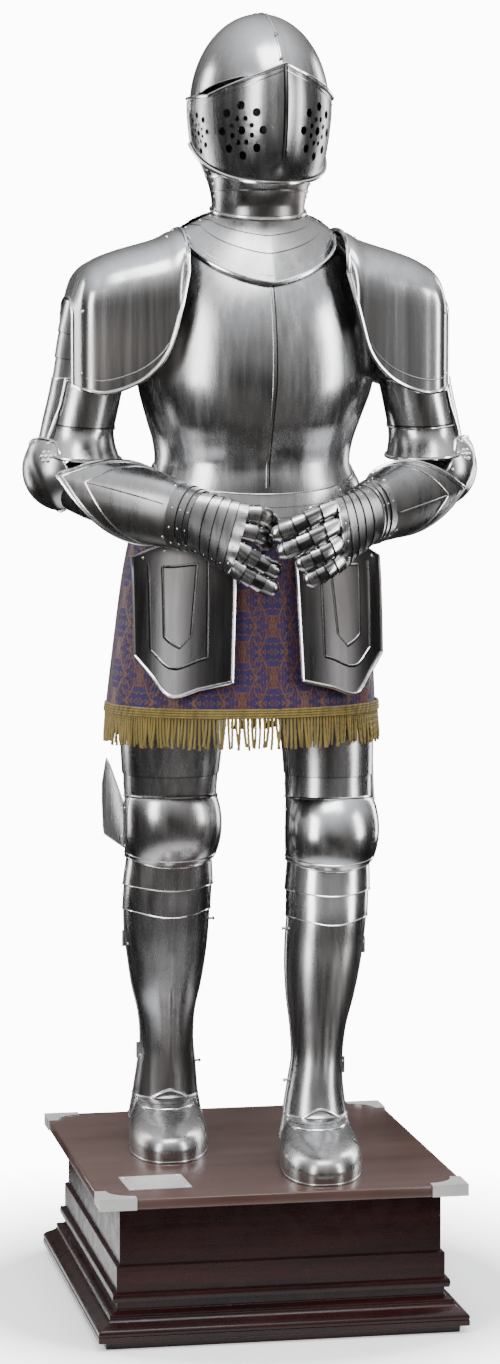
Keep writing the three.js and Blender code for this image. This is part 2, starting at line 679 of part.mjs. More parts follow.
// Fingers: scaled gutters that follow a bent line from the knuckle to the tip.
// Each root stands on the hand's knuckle edge, a set way up it from the hand's middle.
const FINGERS = {
  right_1: { rise: 41, bends: [[-4, -150, 1255], [10, -134, 1245], [16, -115, 1238]] },
  right_2: { rise: 13.7, bends: [[-12, -152, 1226], [3, -136, 1213], [9, -117, 1206]] },
  right_3: { rise: -13.7, bends: [[-24, -158, 1192], [0, -155, 1178], [22, -144, 1168]] },
  right_4: { rise: -41, bends: [[-30, -155, 1164], [-6, -153, 1151], [18, -143, 1141]] },
  left_1: { rise: 41, bends: [[70, -178, 1254], [38, -180, 1239], [8, -172, 1226]] },
  left_2: { rise: 13.7, bends: [[76, -182, 1226], [44, -183, 1211], [16, -172, 1199]] },
  left_3: { rise: -13.7, bends: [[90, -182, 1201], [68, -181, 1190], [46, -172, 1180]] },
  left_4: { rise: -41, bends: [[96, -176, 1175], [78, -176, 1164], [60, -168, 1154]] },
};

function finger(label, name, { rise: height, bends }) {
  const { knuckle, lean, side } = WRISTS[label];
  const edge = Math.cos(Math.asin(height / 54)) * 17;
  const normal = unit(cross([0, -side, 0], lean));
  const root = along(along(along(knuckle, lean, height), [0, -1, 0], edge - 9.5), normal, SEAM);
  const path = [root, ...bends];
  const count = path.length - 1;
  const point = (angle, v, out) => {
    const k = Math.round(v * count);
    const centre = path[k];
    const ahead = unit(path[Math.min(count, k + 1)].map((value, i) => value - path[Math.max(0, k - 1)][i]));
    const free = unit(cross(ahead, [0, -1, 0])).map((value, _, all) => value * Math.sign(all[2]));
    const up = k === 0 ? lean : free;
    const facing = k === 0 ? [0, -1, 0] : unit(cross(ahead, up)).map((value, _, all) => value * -Math.sign(all[1]));
    const rise = mix(13.3, 12, v) + out;
    const deep = mix(9.5, 9, v) + out;
    return along(along(centre, facing, deep * Math.cos(rad(angle))), up, rise * Math.sin(rad(angle)));
  };
  add(name, plate(point, steps(6, -105, 105), steps(count), { thick: 1.2 }), 'bright');
}

// Legs: each has its own table, because the wearer's left foot stands ahead of the right.
const LEGS = {
  right: {
    side: -1,
    rows: table('z x y half front back', [
      [243, -110, 150, 59, 60, 62], [274, -110, 147, 56, 57, 60], [310, -110, 144, 52, 52, 57],
      [350, -109, 140, 47.5, 48, 53], [388, -109, 136, 43.5, 45, 51], [435, -110, 132, 46, 48, 58],
      [481, -111, 127, 56, 54, 68], [525, -111, 123, 63, 58, 75], [568, -112, 118, 68, 60, 77],
      [611, -112, 114, 70, 62, 74], [650, -111, 107, 70.5, 62, 70], [692, -110, 101, 68, 62, 66],
      [750, -108, 95, 66, 64, 64], [800, -110, 88, 71, 68, 70], [872, -110, 78, 78, 76, 80],
      [985, -109, 63, 85, 84, 88], [1030, -114, 60, 90, 88, 92],
    ]),
  },
  left: {
    side: 1,
    rows: table('z x y half front back', [
      [243, 100, -62, 58, 60, 62], [274, 100, -58, 54, 57, 60], [310, 99, -52, 49.5, 52, 57],
      [350, 101, -46, 44, 48, 53], [388, 105, -40, 41, 45, 51], [435, 108, -33, 45, 48, 58],
      [481, 113, -25, 54, 54, 68], [525, 118, -18, 60, 58, 75], [568, 123, -11, 63, 60, 77],
      [611, 128, -5, 64, 62, 74], [650, 131, 4, 65.5, 62, 70], [692, 134, 12, 65, 62, 66],
      [750, 137, 20, 63, 64, 64], [800, 138, 30, 66, 68, 70], [872, 139, 42, 70, 76, 80],
      [985, 133, 54, 79, 84, 88], [1030, 129.6, 56, 83, 81, 88],
    ]),
  },
};
const ANKLE = 300;
const THIGH_TOP = 1030;
const SHIN = steps(8, -88, 88);
const KNEE = { lameLow: 612, lameHigh: 652, cap: 693, top: 798 };

function leg(label) {
  const { side, rows } = LEGS[label];
  const skin = (angle, z, out) => around({ ...at(rows, z), power: 2.1 }, angle, out);
  const greave = (angle, v, out) => skin(angle, mix(ANKLE, KNEE.lameLow - SEAM, v), out);
  add(`greave_front_${label}`, plate(greave, SHIN, steps(6)), 'steel');
  add(`greave_back_${label}`, plate(greave, SHIN.map((angle) => angle + 180), steps(6)), 'steel');
  const poleyn = (angle, v, out) => {
    const z = v;
    const face = Math.max(0, Math.cos(rad(angle)));
    const dome = 25 * Math.sin(Math.PI * Math.min(1, Math.max(0, (z - KNEE.cap) / (KNEE.top - KNEE.cap)))) ** 0.8;
    const lift = z < KNEE.lameHigh ? 0 : z < KNEE.cap ? 1.6 : 3.2;
    return skin(angle, z, out + lift + dome * (0.21 + 0.79 * face));
  };
  const levels = [612, 651.9, 652, 692.9, 693.1, 715, 745, 775, 798];
  add(`poleyn_${label}`, plate(poleyn, steps(8, -100, 100), levels), 'bright');
  const thigh = (angle, v, out) => skin(angle, mix(KNEE.top + SEAM, THIGH_TOP, v), out + 3.2 * (v < 0.01 ? 1 : 0));
  add(`cuisse_${label}`, plate(thigh, steps(9, -118, 118), [0, 0.02, 0.35, 0.7, 1]), 'steel');
  wing(`poleyn_wing_${label}`, side, skin(90 * side, 750, 8.9));
}

// The poleyn's wing: a flat plate reaching back past the outside of the knee.
const WING = [[0, 712], [92, 722], [100, 735], [102, 803], [82, 847], [66, 838], [10, 790], [0, 784]];

function wing(name, side, root) {
  const lean = Math.tan(rad(11));
  const place = (off, [d, z]) => [root[0] + side * (off + SEAM + d * lean), root[1] + d, z];
  add(name, slab(WING, (corner, end) => place(end * PLATE, corner)), 'steel');
}

// The sabaton: a broad round-toed shoe of overlapping lames, open at the sole and the ankle.
const SHOE = table('v z half front back shift', [
  [0, 0.3, 69, 236, 84, -10], [1, 22, 71, 238, 84, -10], [2, 40, 68, 226, 80, -9], [3, 52, 63, 190, 74, -7],
  [4, 59, 59, 130, 68, -4], [5, 66.5, 57, 84, 63, 0],
]);

function sabaton(label) {
  const base = at(LEGS[label].rows, ANKLE);
  const point = (angle, v, out) => {
    const row = v < 6 ? at(SHOE, Math.min(v, 5), 'v') : null;
    const power = mix(2.7, 2.1, Math.min(1, v / 5));
    const p = around({ ...row, z: BOARD.top + row.z, x: base.x, y: base.y, power }, angle, out);
    const ahead = base.y - p[1];
    return [p[0] - ahead * 0.12, p[1], p[2]];
  };
  const top = (angle, out) => around({ ...base, z: ANKLE - SEAM, power: 2.1 }, angle, out);
  const whole = (angle, v, out) => (v > 5.5 ? top(angle, out) : point(angle, v, out));
  add(`sabaton_${label}`, plate(whole, [...SHIN, ...SHIN.map((angle) => angle + 180)], steps(6, 0, 6), { ring: true }), 'steel');
}

plinth();
bracket('bracket_front_right', -1, -1);
bracket('bracket_front_left', 1, -1);
bracket('bracket_back_right', -1, 1);
bracket('bracket_back_left', 1, 1);
nameplate();
cuirass();
tasset('tasset_right', -1);
tasset('tasset_left', 1);
skirt();
fringe();
helmet();
for (const [label, side] of [['right', -1], ['left', 1]]) {
  pauldron(`pauldron_${label}`, side);
  sleeve(side, label);
  couter(`couter_${label}`, side);
  forearm(label);
  hand(label);
  leg(label);
  sabaton(label);
}
for (const [name, row] of Object.entries(FINGERS)) {
  finger(name.split('_')[0], `finger_${name}`, row);
}

export default suit;
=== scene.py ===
import math
import random

import bmesh
import bpy
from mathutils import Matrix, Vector
from mathutils.geometry import delaunay_2d_cdt


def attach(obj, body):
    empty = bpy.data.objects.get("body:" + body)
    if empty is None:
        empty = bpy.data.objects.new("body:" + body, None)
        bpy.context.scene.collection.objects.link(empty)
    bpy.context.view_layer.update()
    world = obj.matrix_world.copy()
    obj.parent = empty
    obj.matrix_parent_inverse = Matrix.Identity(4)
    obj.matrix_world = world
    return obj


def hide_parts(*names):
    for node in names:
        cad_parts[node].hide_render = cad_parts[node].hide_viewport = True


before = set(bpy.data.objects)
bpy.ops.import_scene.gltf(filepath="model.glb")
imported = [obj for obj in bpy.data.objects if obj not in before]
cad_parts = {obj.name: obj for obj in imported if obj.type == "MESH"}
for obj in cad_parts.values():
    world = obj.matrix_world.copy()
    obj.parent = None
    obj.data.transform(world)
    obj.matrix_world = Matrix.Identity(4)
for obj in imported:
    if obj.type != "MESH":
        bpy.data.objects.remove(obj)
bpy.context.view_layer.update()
scene = bpy.context.scene


# The camera stands a little to the suit's right and level with its chest, far enough off to
# keep the legs straight. The floor is plain and pale, and soft boxes stand on both sides,
# which the steel mirrors as upright bands.
def place_light(name, place, aim, wide, high, watts):
    lamp = bpy.data.lights.new(name, "AREA")
    lamp.shape = "RECTANGLE"
    lamp.size = wide
    lamp.size_y = high
    lamp.energy = watts
    holder = bpy.data.objects.new(name, lamp)
    holder.location = place
    holder.rotation_euler = (Vector(aim) - Vector(place)).to_track_quat("-Z", "Y").to_euler()
    scene.collection.objects.link(holder)


camera_lens = bpy.data.cameras.new("camera")
camera_lens.lens = 97.8
camera_lens.sensor_width = 36
camera = bpy.data.objects.new("camera", camera_lens)
camera.location = (-1.085, -5.756, 1.534)
camera.rotation_euler = [math.radians(angle) for angle in (84.641, 0, -10.716)]
scene.collection.objects.link(camera)
scene.camera = camera

place_light("box_left", (-3.0, -2.6, 2.3), (0, 0, 1.2), 1.3, 3.2, 140)
place_light("box_right", (3.2, -2.0, 2.0), (0, 0, 1.1), 0.9, 3.0, 90)
place_light("box_above", (0.1, -1.4, 4.4), (0, 0, 1.0), 2.2, 1.6, 110)
place_light("strip_back_left", (-2.2, 1.9, 1.6), (0, 0, 1.1), 0.5, 2.8, 45)
place_light("strip_back_right", (2.4, 1.8, 1.6), (0, 0, 1.1), 0.5, 2.8, 45)

floor_mesh = bpy.data.meshes.new("floor")
floor_mesh.from_pydata([(-9, -9, 0), (9, -9, 0), (9, 9, 0), (-9, 9, 0)], [], [(0, 1, 2, 3)])
floor = bpy.data.objects.new("floor", floor_mesh)
scene.collection.objects.link(floor)


class Socket:
    """A number, vector or colour on its way between the nodes of one shader."""

    def __init__(self, tree, plug):
        self.tree = tree
        self.plug = plug

    def node(self, kind, settings=None, inputs=None, output=0):
        made = self.tree.nodes.new(kind)
        for name, value in (settings or {}).items():
            setattr(made, name, value)
        for name, value in (inputs or {}).items():
            if isinstance(value, Socket):
                self.tree.links.new(value.plug, made.inputs[name])
            elif isinstance(value, tuple) and len(value) == 3 and made.inputs[name].type == "RGBA":
                made.inputs[name].default_value = (*value, 1)
            else:
                made.inputs[name].default_value = value
        return Socket(self.tree, made.outputs[output])

    def math(self, kind, *others):
        return self.node("ShaderNodeMath", {"operation": kind}, dict(enumerate((self, *others))))

    def __add__(self, other):
        return self.math("ADD", other)

    __radd__ = __add__

    def __mul__(self, other):
        return self.math("MULTIPLY", other)

    __rmul__ = __mul__

    def __sub__(self, other):
        return self.math("SUBTRACT", other)

    def __rsub__(self, other):
        return self * -1 + other

    def __truediv__(self, other):
        return self.math("DIVIDE", other)

    def __pow__(self, other):
        return self.math("POWER", other)

    def fit(self, low, high):
        """0 at low and 1 at high, and no further."""
        return self.node("ShaderNodeMapRange", {}, {"Value": self, "From Min": low, "From Max": high})

    def part(self, axis):
        return self.node("ShaderNodeSeparateXYZ", {}, {0: self}, "XYZ".index(axis))

    def stretch(self, x, y, z):
        return self.node("ShaderNodeVectorMath", {"operation": "MULTIPLY"}, {0: self, 1: (x, y, z)})

    def noise(self, scale, detail=3.0, rough=0.5):
        return self.node("ShaderNodeTexNoise", {}, {
            "Vector": self, "Scale": scale, "Detail": detail, "Roughness": rough})

    def colour(self, low, high):
        """The colour low where this is 0 and high where it is 1."""
        return self.node("ShaderNodeMix", {"data_type": "RGBA"}, {0: self, 6: low, 7: high}, 2)

    def bump(self, strength, distance, normal=None):
        inputs = {"Height": self, "Strength": strength, "Distance": distance}
        if normal:
            inputs["Normal"] = normal
        return self.node("ShaderNodeBump", {}, inputs)


def material(name):
    """A new material, and the place of each point on its piece in metres."""
    made = bpy.data.materials.new(name)
    made.use_nodes = True
    made.node_tree.nodes.clear()
    where = made.node_tree.nodes.new("ShaderNodeTexCoord")
    return made, Socket(made.node_tree, where.outputs["Object"])


def surface(made, start, **finish):
    """Ends a material with these looks; a name's underscores stand for spaces."""
    inputs = {name.replace("_", " "): value for name, value in finish.items()}
    shader = start.node("ShaderNodeBsdfPrincipled", {}, inputs)
    end = made.node_tree.nodes.new("ShaderNodeOutputMaterial")
    made.node_tree.links.new(shader.plug, end.inputs["Surface"])
    return made


FLOOR_FADE = {"gone": 1.0, "whole": 0.42}
floor_paint, floor_place = material("floor_paint")
off_centre = floor_place.node("ShaderNodeVectorMath", {"operation": "LENGTH"}, {0: floor_place}, "Value")
floor_mesh.materials.append(surface(
    floor_paint, floor_place,
    Base_Color=floor_place.noise(3).colour((0.93, 0.93, 0.93), (0.96, 0.96, 0.96)), Roughness=0.8,
    Emission_Color=(1, 1, 1), Emission_Strength=0.35,
    Alpha=off_centre.fit(FLOOR_FADE["gone"], FLOOR_FADE["whole"])))

world = bpy.data.worlds.new("studio")
scene.world = world
world.use_nodes = True
world.node_tree.nodes.clear()
gaze = Socket(world.node_tree, world.node_tree.nodes.new("ShaderNodeTexCoord").outputs["Generated"])
seen = gaze.node("ShaderNodeLightPath", {}, {}, "Is Camera Ray")
above = gaze.part("Z").fit(-0.1, 1.0)
ahead = (gaze.part("Y") * -1).fit(-0.2, 1.0)
panels = gaze.noise(2.6, 2).fit(0.38, 0.66)
room = 0.014 + 2.1 * above ** 2.2 + 0.22 * ahead * panels
glow = seen.node("ShaderNodeMix", {}, {0: seen, 2: room, 3: 12.0})
sky = above.colour((1, 0.94, 0.88), (0.88, 0.94, 1))
backdrop = gaze.node("ShaderNodeBackground", {}, {"Color": seen.colour(sky, (1, 1, 1)), "Strength": glow})
world_end = world.node_tree.nodes.new("ShaderNodeOutputWorld")
world.node_tree.links.new(backdrop.plug, world_end.inputs["Surface"])


# The plinth is a box of stained mahogany boards over a mitred base moulding, varnished until it
# shines. It is glued and pinned, and everything else stands on the board that closes its top.
PLINTH = {"width": 570, "depth": 635, "under": 215.4}
MAHOGANY = {"dark": (0.0045, 0.0016, 0.0018), "light": (0.026, 0.0052, 0.0052)}


def mix(a, b, t):
    return a + (b - a) * t


def steps(count, low=0.0, high=1.0):
    return [mix(low, high, k / count) for k in range(count + 1)]


def sine(angle):
    return math.sin(math.radians(angle))


def cosine(angle):
    return math.cos(math.radians(angle))


def table(names, rows):
    """Sections under named columns; the first name is the one that they are sorted by."""
    return [dict(zip(names.split(), row)) for row in rows]


class Piece:
    """The faces of one made piece, gathered in millimetres."""

    def __init__(self):
        self.points = []
        self.faces = []
        self.worn = []

    def grid(self, rows, ring=False, worn=0.0):
        """Quads between rows of points. Their tone mark is 1 where polish has rubbed hardest and a highlight
        is painted, and below 0 where shade is painted.
        """
        first = len(self.points)
        wide = len(rows[0])
        for row in rows:
            self.points.extend(Vector(p) for p in row)
        self.worn.extend([worn] * (wide * len(rows)))
        for j in range(len(rows) - 1):
            for i in range(wide if ring else wide - 1):
                near, far = first + j * wide, first + (j + 1) * wide
                after = (i + 1) % wide
                self.faces.append((near + i, near + after, far + after, far + i))

    def cap(self, row):
        first = len(self.points)
        self.points.extend(Vector(p) for p in row)
        self.worn.extend([0.0] * len(row))
        self.faces.append(tuple(range(first, first + len(row))))

    def make(self, name, look, nodes=(), body="stand_and_suit", sharp=32):
        """One object in metres, which rides on a body and stands for its nodes."""
        mesh = bpy.data.meshes.new(name)
        mesh.from_pydata([p * 0.001 for p in self.points], [], self.faces)
        mesh.attributes.new("worn", "FLOAT", "POINT").data.foreach_set("value", self.worn)
        mesh.materials.append(look)
        shape = bmesh.new()
        shape.from_mesh(mesh)
        bmesh.ops.remove_doubles(shape, verts=shape.verts, dist=4e-6)
        bmesh.ops.dissolve_degenerate(shape, edges=shape.edges, dist=1e-6)
        bmesh.ops.recalc_face_normals(shape, faces=shape.faces)
        shape.to_mesh(mesh)
        shape.free()
        mesh.shade_smooth()
        mesh.set_sharp_from_angle(angle=math.radians(sharp))
        made = bpy.data.objects.new(name, mesh)
        scene.collection.objects.link(made)
        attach(made, body)
        if nodes:
            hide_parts(*nodes)
        return made


def wood(name, dark, light, rough):
    """Grain runs along each side, in long streaks with fine pores, under a coat of varnish."""
    made, place = material(name)
    facing = place.node("ShaderNodeNewGeometry", {}, {}, "Normal").part("X").math("ABSOLUTE").fit(0.6, 0.8)
    wide = place.stretch(2.2, 30, 38).noise(1, 4, 0.6)
    deep = place.stretch(30, 2.2, 38).noise(1, 4, 0.6)
    streak = (wide * (1 - facing) + deep * facing).fit(0.3, 0.72)
    pores = (place.stretch(60, 700, 900).noise(1, 2) * (1 - facing)
             + place.stretch(700, 60, 900).noise(1, 2) * facing).fit(0.55, 0.75)
    mitre = (place.part("X").math("ABSOLUTE") - place.part("Y").math("ABSOLUTE") + 0.0325).math("ABSOLUTE")
    joint = mitre.fit(0.0007, 0.0002)
    ground = streak.colour(dark, light)
    stained = (pores * 0.5).colour(ground, dark)
    return surface(
        made, place, Base_Color=(joint * 0.8).colour(stained, (0.004, 0.002, 0.002)),
        Roughness=rough + 0.16 * place.noise(40, 3).fit(0.3, 0.7),
        Coat_Weight=0.12, Coat_Roughness=0.14, Specular_IOR_Level=0.2,
        Normal=(pores * -1.0).bump(0.12, 0.0006, streak.bump(0.1, 0.001)))


def rectangle(inset, z, clip=1.2):
    """A box section with its corners just taken off."""
    x, y = PLINTH["width"] / 2 - inset, PLINTH["depth"] / 2 - inset
    row = []
    for sx, sy in ((-1, -1), (1, -1), (1, 1), (-1, 1)):
        pair = [(sx * x, sy * (y - clip), z), (sx * (x - clip), sy * y, z)]
        row.extend(pair if sx * sy > 0 else pair[::-1])
    return row


# Bulge is how far the face swells out between one row and the next, or hollows in where it is negative.
MOULDING = table("z inset bulge", [
    (0, 9, 0), (11.4, 8, 0), (12, -2.5, 0.8), (14, -4, 0), (20, -4, 0.5), (21.5, -2.6, 5.2), (36, 7, 0),
    (37, 8.4, -3.6), (48.6, 15.4, 0), (50, 16, 0), (51, 17.4, -3.2), (56, 28, 0), (57, 29, 0), (67, 29, 0),
    (68, 22.6, 1.4), (80.6, 22.4, 0), (82.4, 28.5, 0), (121, 28.5, 0.6), (124, 34, 0),
    (PLINTH["under"], 34, 0)])

plinth = Piece()
sections = []
for low, high in zip(MOULDING, MOULDING[1:]):
    for t in steps(7 if low["bulge"] else 1)[:-1]:
        inset = mix(low["inset"], high["inset"], t) - low["bulge"] * 4 * t * (1 - t)
        sections.append(rectangle(inset, mix(low["z"], high["z"], t)))
sections.append(rectangle(34, PLINTH["under"]))
plinth.grid(sections, ring=True)
plinth.cap(sections[0])
plinth.cap(sections[-1])
mahogany = wood("mahogany", MAHOGANY["dark"], MAHOGANY["light"], 0.2)
plinth.make("plinth_body_wood", mahogany, ["plinth_body"], sharp=24)


# The board that the suit stands on is one polished slab, stained a milky brown, with its top edge
# eased by hand. The shoes and the plate rest on it.
BOARD = {"low": 215.7, "top": 232.7}
BROWN = {"dark": (0.042, 0.0165, 0.0125), "light": (0.066, 0.028, 0.021), "rubbed": (0.10, 0.052, 0.042)}

board = Piece()
board_rows = [rectangle(inset, z, 2.5) for inset, z in (
    (1.6, BOARD["low"]), (0.3, 217), (0, 218.4), (0, 230), (0.5, 231.6), (1.3, 232.3), (2.6, BOARD["top"]))]
board.grid(board_rows, ring=True)
board.cap(board_rows[0])
board.cap(board_rows[-1])
board_look, board_place = material("board")
long_streak = board_place.stretch(3, 22, 22).noise(1, 4, 0.6).fit(0.32, 0.68)
rubbed = board_place.noise(5, 3).fit(0.35, 0.65)
tone = long_streak.colour(BROWN["dark"], BROWN["light"])
surface(
    board_look, board_place, Base_Color=(rubbed * 0.3).colour(tone, BROWN["rubbed"]),
    Roughness=0.3 + 0.15 * rubbed, Coat_Weight=0.35, Coat_Roughness=0.2,
    Normal=board_place.stretch(60, 600, 600).noise(1, 2).bump(0.08, 0.0006))
board.make("plinth_board_wood", board_look, ["plinth_board"], sharp=50)


# Four corners of pale metal sheet wrap the board's edges, and a blank plate of the same metal is
# screwed to its front with four small round screws.
PLATE_AT = {"x": -185, "y": -215, "turn": 2, "width": 98, "depth": 89, "top": 234.2}


def dull_silver(name, tone):
    """Sheet metal brushed one way and dulled by handling."""
    made, place = material(name)
    brushed = place.stretch(60, 2600, 900).noise(1, 2).fit(0.3, 0.7)
    handled = place.noise(38, 4, 0.6).fit(0.35, 0.7)
    return surface(
        made, place, Metallic=0.7, Base_Color=handled.colour((tone, tone, tone * 0.99), (0.78, 0.77, 0.74)),
        Roughness=0.26 + 0.16 * handled + 0.06 * brushed, Normal=brushed.bump(0.12, 0.0003))


def add_rivet(self, centre, normal, radius=2.6, height=1.5, worn=1.0):
    """A round head that stands on a plate."""
    axis = Vector(normal).normalized()
    side = axis.orthogonal().normalized()
    other = axis.cross(side)
    rows = []
    for turn in (0, 22, 45, 68, 89):
        middle, ring = Vector(centre) + axis * (height * sine(turn) - 0.2), radius * cosine(turn)
        rows.append([middle + ring * (side * cosine(a) + other * sine(a)) for a in range(0, 360, 30)])
    self.grid(rows, ring=True, worn=worn)


Piece.rivet = add_rivet

silver = dull_silver("silver", tone=0.93)
brackets = [f"bracket_{end}_{side}" for end in ("front", "back") for side in ("right", "left")]
for node in (*brackets, "nameplate"):
    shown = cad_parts[node]
    shown.data.materials.clear()
    shown.data.materials.append(silver)
    ease = shown.modifiers.new("eased edges", "BEVEL")
    ease.width = 0.0003
    ease.segments = 2

screws = Piece()
turned = PLATE_AT["turn"]
for sx, sy in ((-1, -1), (1, -1), (1, 1), (-1, 1)):
    dx, dy = sx * (PLATE_AT["width"] / 2 - 6), sy * (PLATE_AT["depth"] / 2 - 6)
    x = PLATE_AT["x"] + dx * cosine(turned) - dy * sine(turned)
    y = PLATE_AT["y"] + dx * sine(turned) + dy * cosine(turned)
    screws.rivet((x, y, PLATE_AT["top"]), (0, 0, 1), 2.4, 1.2)
screws.make("nameplate_screws", silver)


# The breastplate and backplate are raised from single sheets of polished steel and meet at the
# sides under the arms, with a keel down the breast. Their armholes are turned over a wire.
TRUNK = table("z x half front back power", [
    (900, 2, 222, 162, 152, 2.1), (940, 2, 219, 160, 150, 2.1), (1040, 5, 211, 155, 141, 2.1),
    (1144, 8, 201, 149, 131, 2.1), (1200, 11, 194, 145, 124, 2.1), (1240, 14, 187, 141, 117, 2.1),
    (1295, 17, 171, 133, 102, 2.15), (1330, 18, 157, 128, 95, 2.2), (1365, 19, 160, 138, 97, 2.2),
    (1400, 20, 171, 150, 105, 2.2), (1460, 23, 188, 158, 118, 2.25), (1520, 24, 185, 153, 126, 2.25),
    (1570, 24, 177, 141, 128, 2.25), (1618, 24, 168, 122, 122, 2.2), (1660, 24, 150, 98, 105, 2.2),
    (1690, 23, 132, 74, 84, 2.1), (1712, 22, 110, 52, 66, 2.1)])
TRUNK_Y = 60
TRUNK_AT = {"waist": 1285, "side": 1330, "armhole": 1500, "throat": 1618, "shoulder": 1696}
# The edge colour is rubbed polish and painted highlight; the near-black one is the colour of painted shade.
STEEL = {"pale": (0.66, 0.67, 0.685), "deep": (0.40, 0.39, 0.39), "brown": (0.40, 0.35, 0.315),
         "streak": (0.27, 0.26, 0.265), "edge": (0.85, 0.85, 0.85), "shadow_black": (0.022, 0.02, 0.02)}


def clamp(value):
    return min(1.0, max(0.0, value))


def bump(value, middle, width):
    return max(0.0, 1 - abs(value - middle) / width)


def at(rows, value, key="z"):
    """The section at a height, eased between the rows of its table."""
    k = 0
    while k < len(rows) - 2 and value > rows[k + 1][key]:
        k += 1
    p, q = rows[k], rows[k + 1]
    before, after = rows[max(0, k - 1)], rows[min(len(rows) - 1, k + 2)]
    span = q[key] - p[key]
    t = clamp((value - p[key]) / span)
    found = {}
    for name in p:
        start = (q[name] - before[name]) / (q[key] - before[key]) * span
        end = (after[name] - p[name]) / (after[key] - p[key]) * span
        found[name] = mix(p[name], q[name], t * t * (3 - 2 * t)) + t * (1 - t) * ((1 - t) * start - t * end)
    found[key] = value
    return found


def around(row, angle, out=0.0):
    """A point on a section: 0 degrees is its front, 90 the wearer's left, 180 its back."""
    side, ahead = sine(angle), cosine(angle)
    depth = (row["front"] if ahead > 0 else row["back"]) + out
    power = 2 / row.get("power", 2)
    x = (row["half"] + out) * math.copysign(abs(side) ** power, side)
    y = depth * math.copysign(abs(ahead) ** power, ahead)
    return Vector((row["x"] + x, row["y"] - y, row["z"]))


def add_plate(self, point, us, vs, ring=False, thick=1.5, worn=0.0):
    """A sheet of metal: point gives its outer face, and its inner face lies one thickness in."""
    outer = [[point(u, v, 0.0) for u in us] for v in vs]
    inner = [[point(u, v, -thick) for u in us] for v in reversed(vs)]
    self.grid([*outer, *inner, outer[0]], ring, worn)
    # The inner face is painted in shade.
    dark = len(us) * len(vs)
    self.worn[-dark - len(us):-len(us)] = [-0.6] * dark
    if not ring:
        for end in (0, -1):
            self.grid([[row[end] for row in outer], [row[end] for row in reversed(inner)]], worn=worn)


def add_tube(self, path, radius, sides=8, closed=False, worn=1.0):
    """A round bar along a path, for an edge that is turned over a wire or a line that is raised."""
    path = [Vector(p) for p in path]
    count = len(path)
    rows = []
    across = None
    for k, p in enumerate(path):
        before = path[k - 1] if k or closed else p
        after = path[(k + 1) % count] if k < count - 1 or closed else p
        ahead = (after - before).normalized()
        across = ahead.orthogonal() if across is None else across
        across = (across - ahead * across.dot(ahead)).normalized()
        other = ahead.cross(across)
        size = radius(k / (count - 1)) if callable(radius) else radius
        rows.append([p + size * (across * cosine(a) + other * sine(a)) for a in steps(sides, 0, 360)[:-1]])
    self.grid(rows + ([rows[0]] if closed else []), ring=True, worn=worn)
    if not closed:
        self.cap(rows[0])
        self.cap(rows[-1])


def listed(value):
    return [value] if isinstance(value, (int, float)) else value


def add_edge(self, point, us, vs, out, radius, sides=8, closed=False, worn=1.0):
    """A tube that follows a sheet along u, along v, or along both."""
    path = [point(u, v, out) for u in listed(us) for v in listed(vs)]
    self.tube(path, radius, sides, closed, worn)


def add_rivets(self, point, us, vs, radius=2.6, height=1.5):
    """Round heads that stand on a sheet, one at each u and v."""
    for u in listed(us):
        for v in listed(vs):
            foot = point(u, v, 0.0)
            self.rivet(foot, point(u, v, 1.0) - foot, radius, height)


def add_lames(self, point, us, cuts, lift=1.6, lap=0.03, count=5, thick=1.2, ring=False, shadow=0.05):
    """Narrow sheets that overlap: each one's low edge covers its neighbour's high edge, where shade is
    painted.
    """
    for low, high in zip(cuts, cuts[1:]):
        start = low - (lap if low > cuts[0] else 0)

        def sheet(u, w, out, start=start, high=high):
            return point(u, mix(start, high, w), out + lift * (1 - w))

        first = len(self.points)
        covered = 1 - lap / (high - start) if high < cuts[-1] else 1.0
        rows = [0, 0.04, *steps(count, 0.14, covered - shadow), covered - shadow * 0.4,
                min(covered + 0.012, 0.99), 1]
        self.plate(sheet, us, rows, ring, thick)
        if covered < 1:
            # The rows under the next lame's edge are painted in shade.
            for k, gap_shade in ((len(rows) - 3, -0.9), (len(rows) - 2, -1.0), (len(rows) - 1, -1.0)):
                self.worn[first + k * len(us):first + (k + 1) * len(us)] = [gap_shade] * len(us)


Piece.plate = add_plate
Piece.tube = add_tube
Piece.edge = add_edge
Piece.rivets = add_rivets
Piece.lames = add_lames


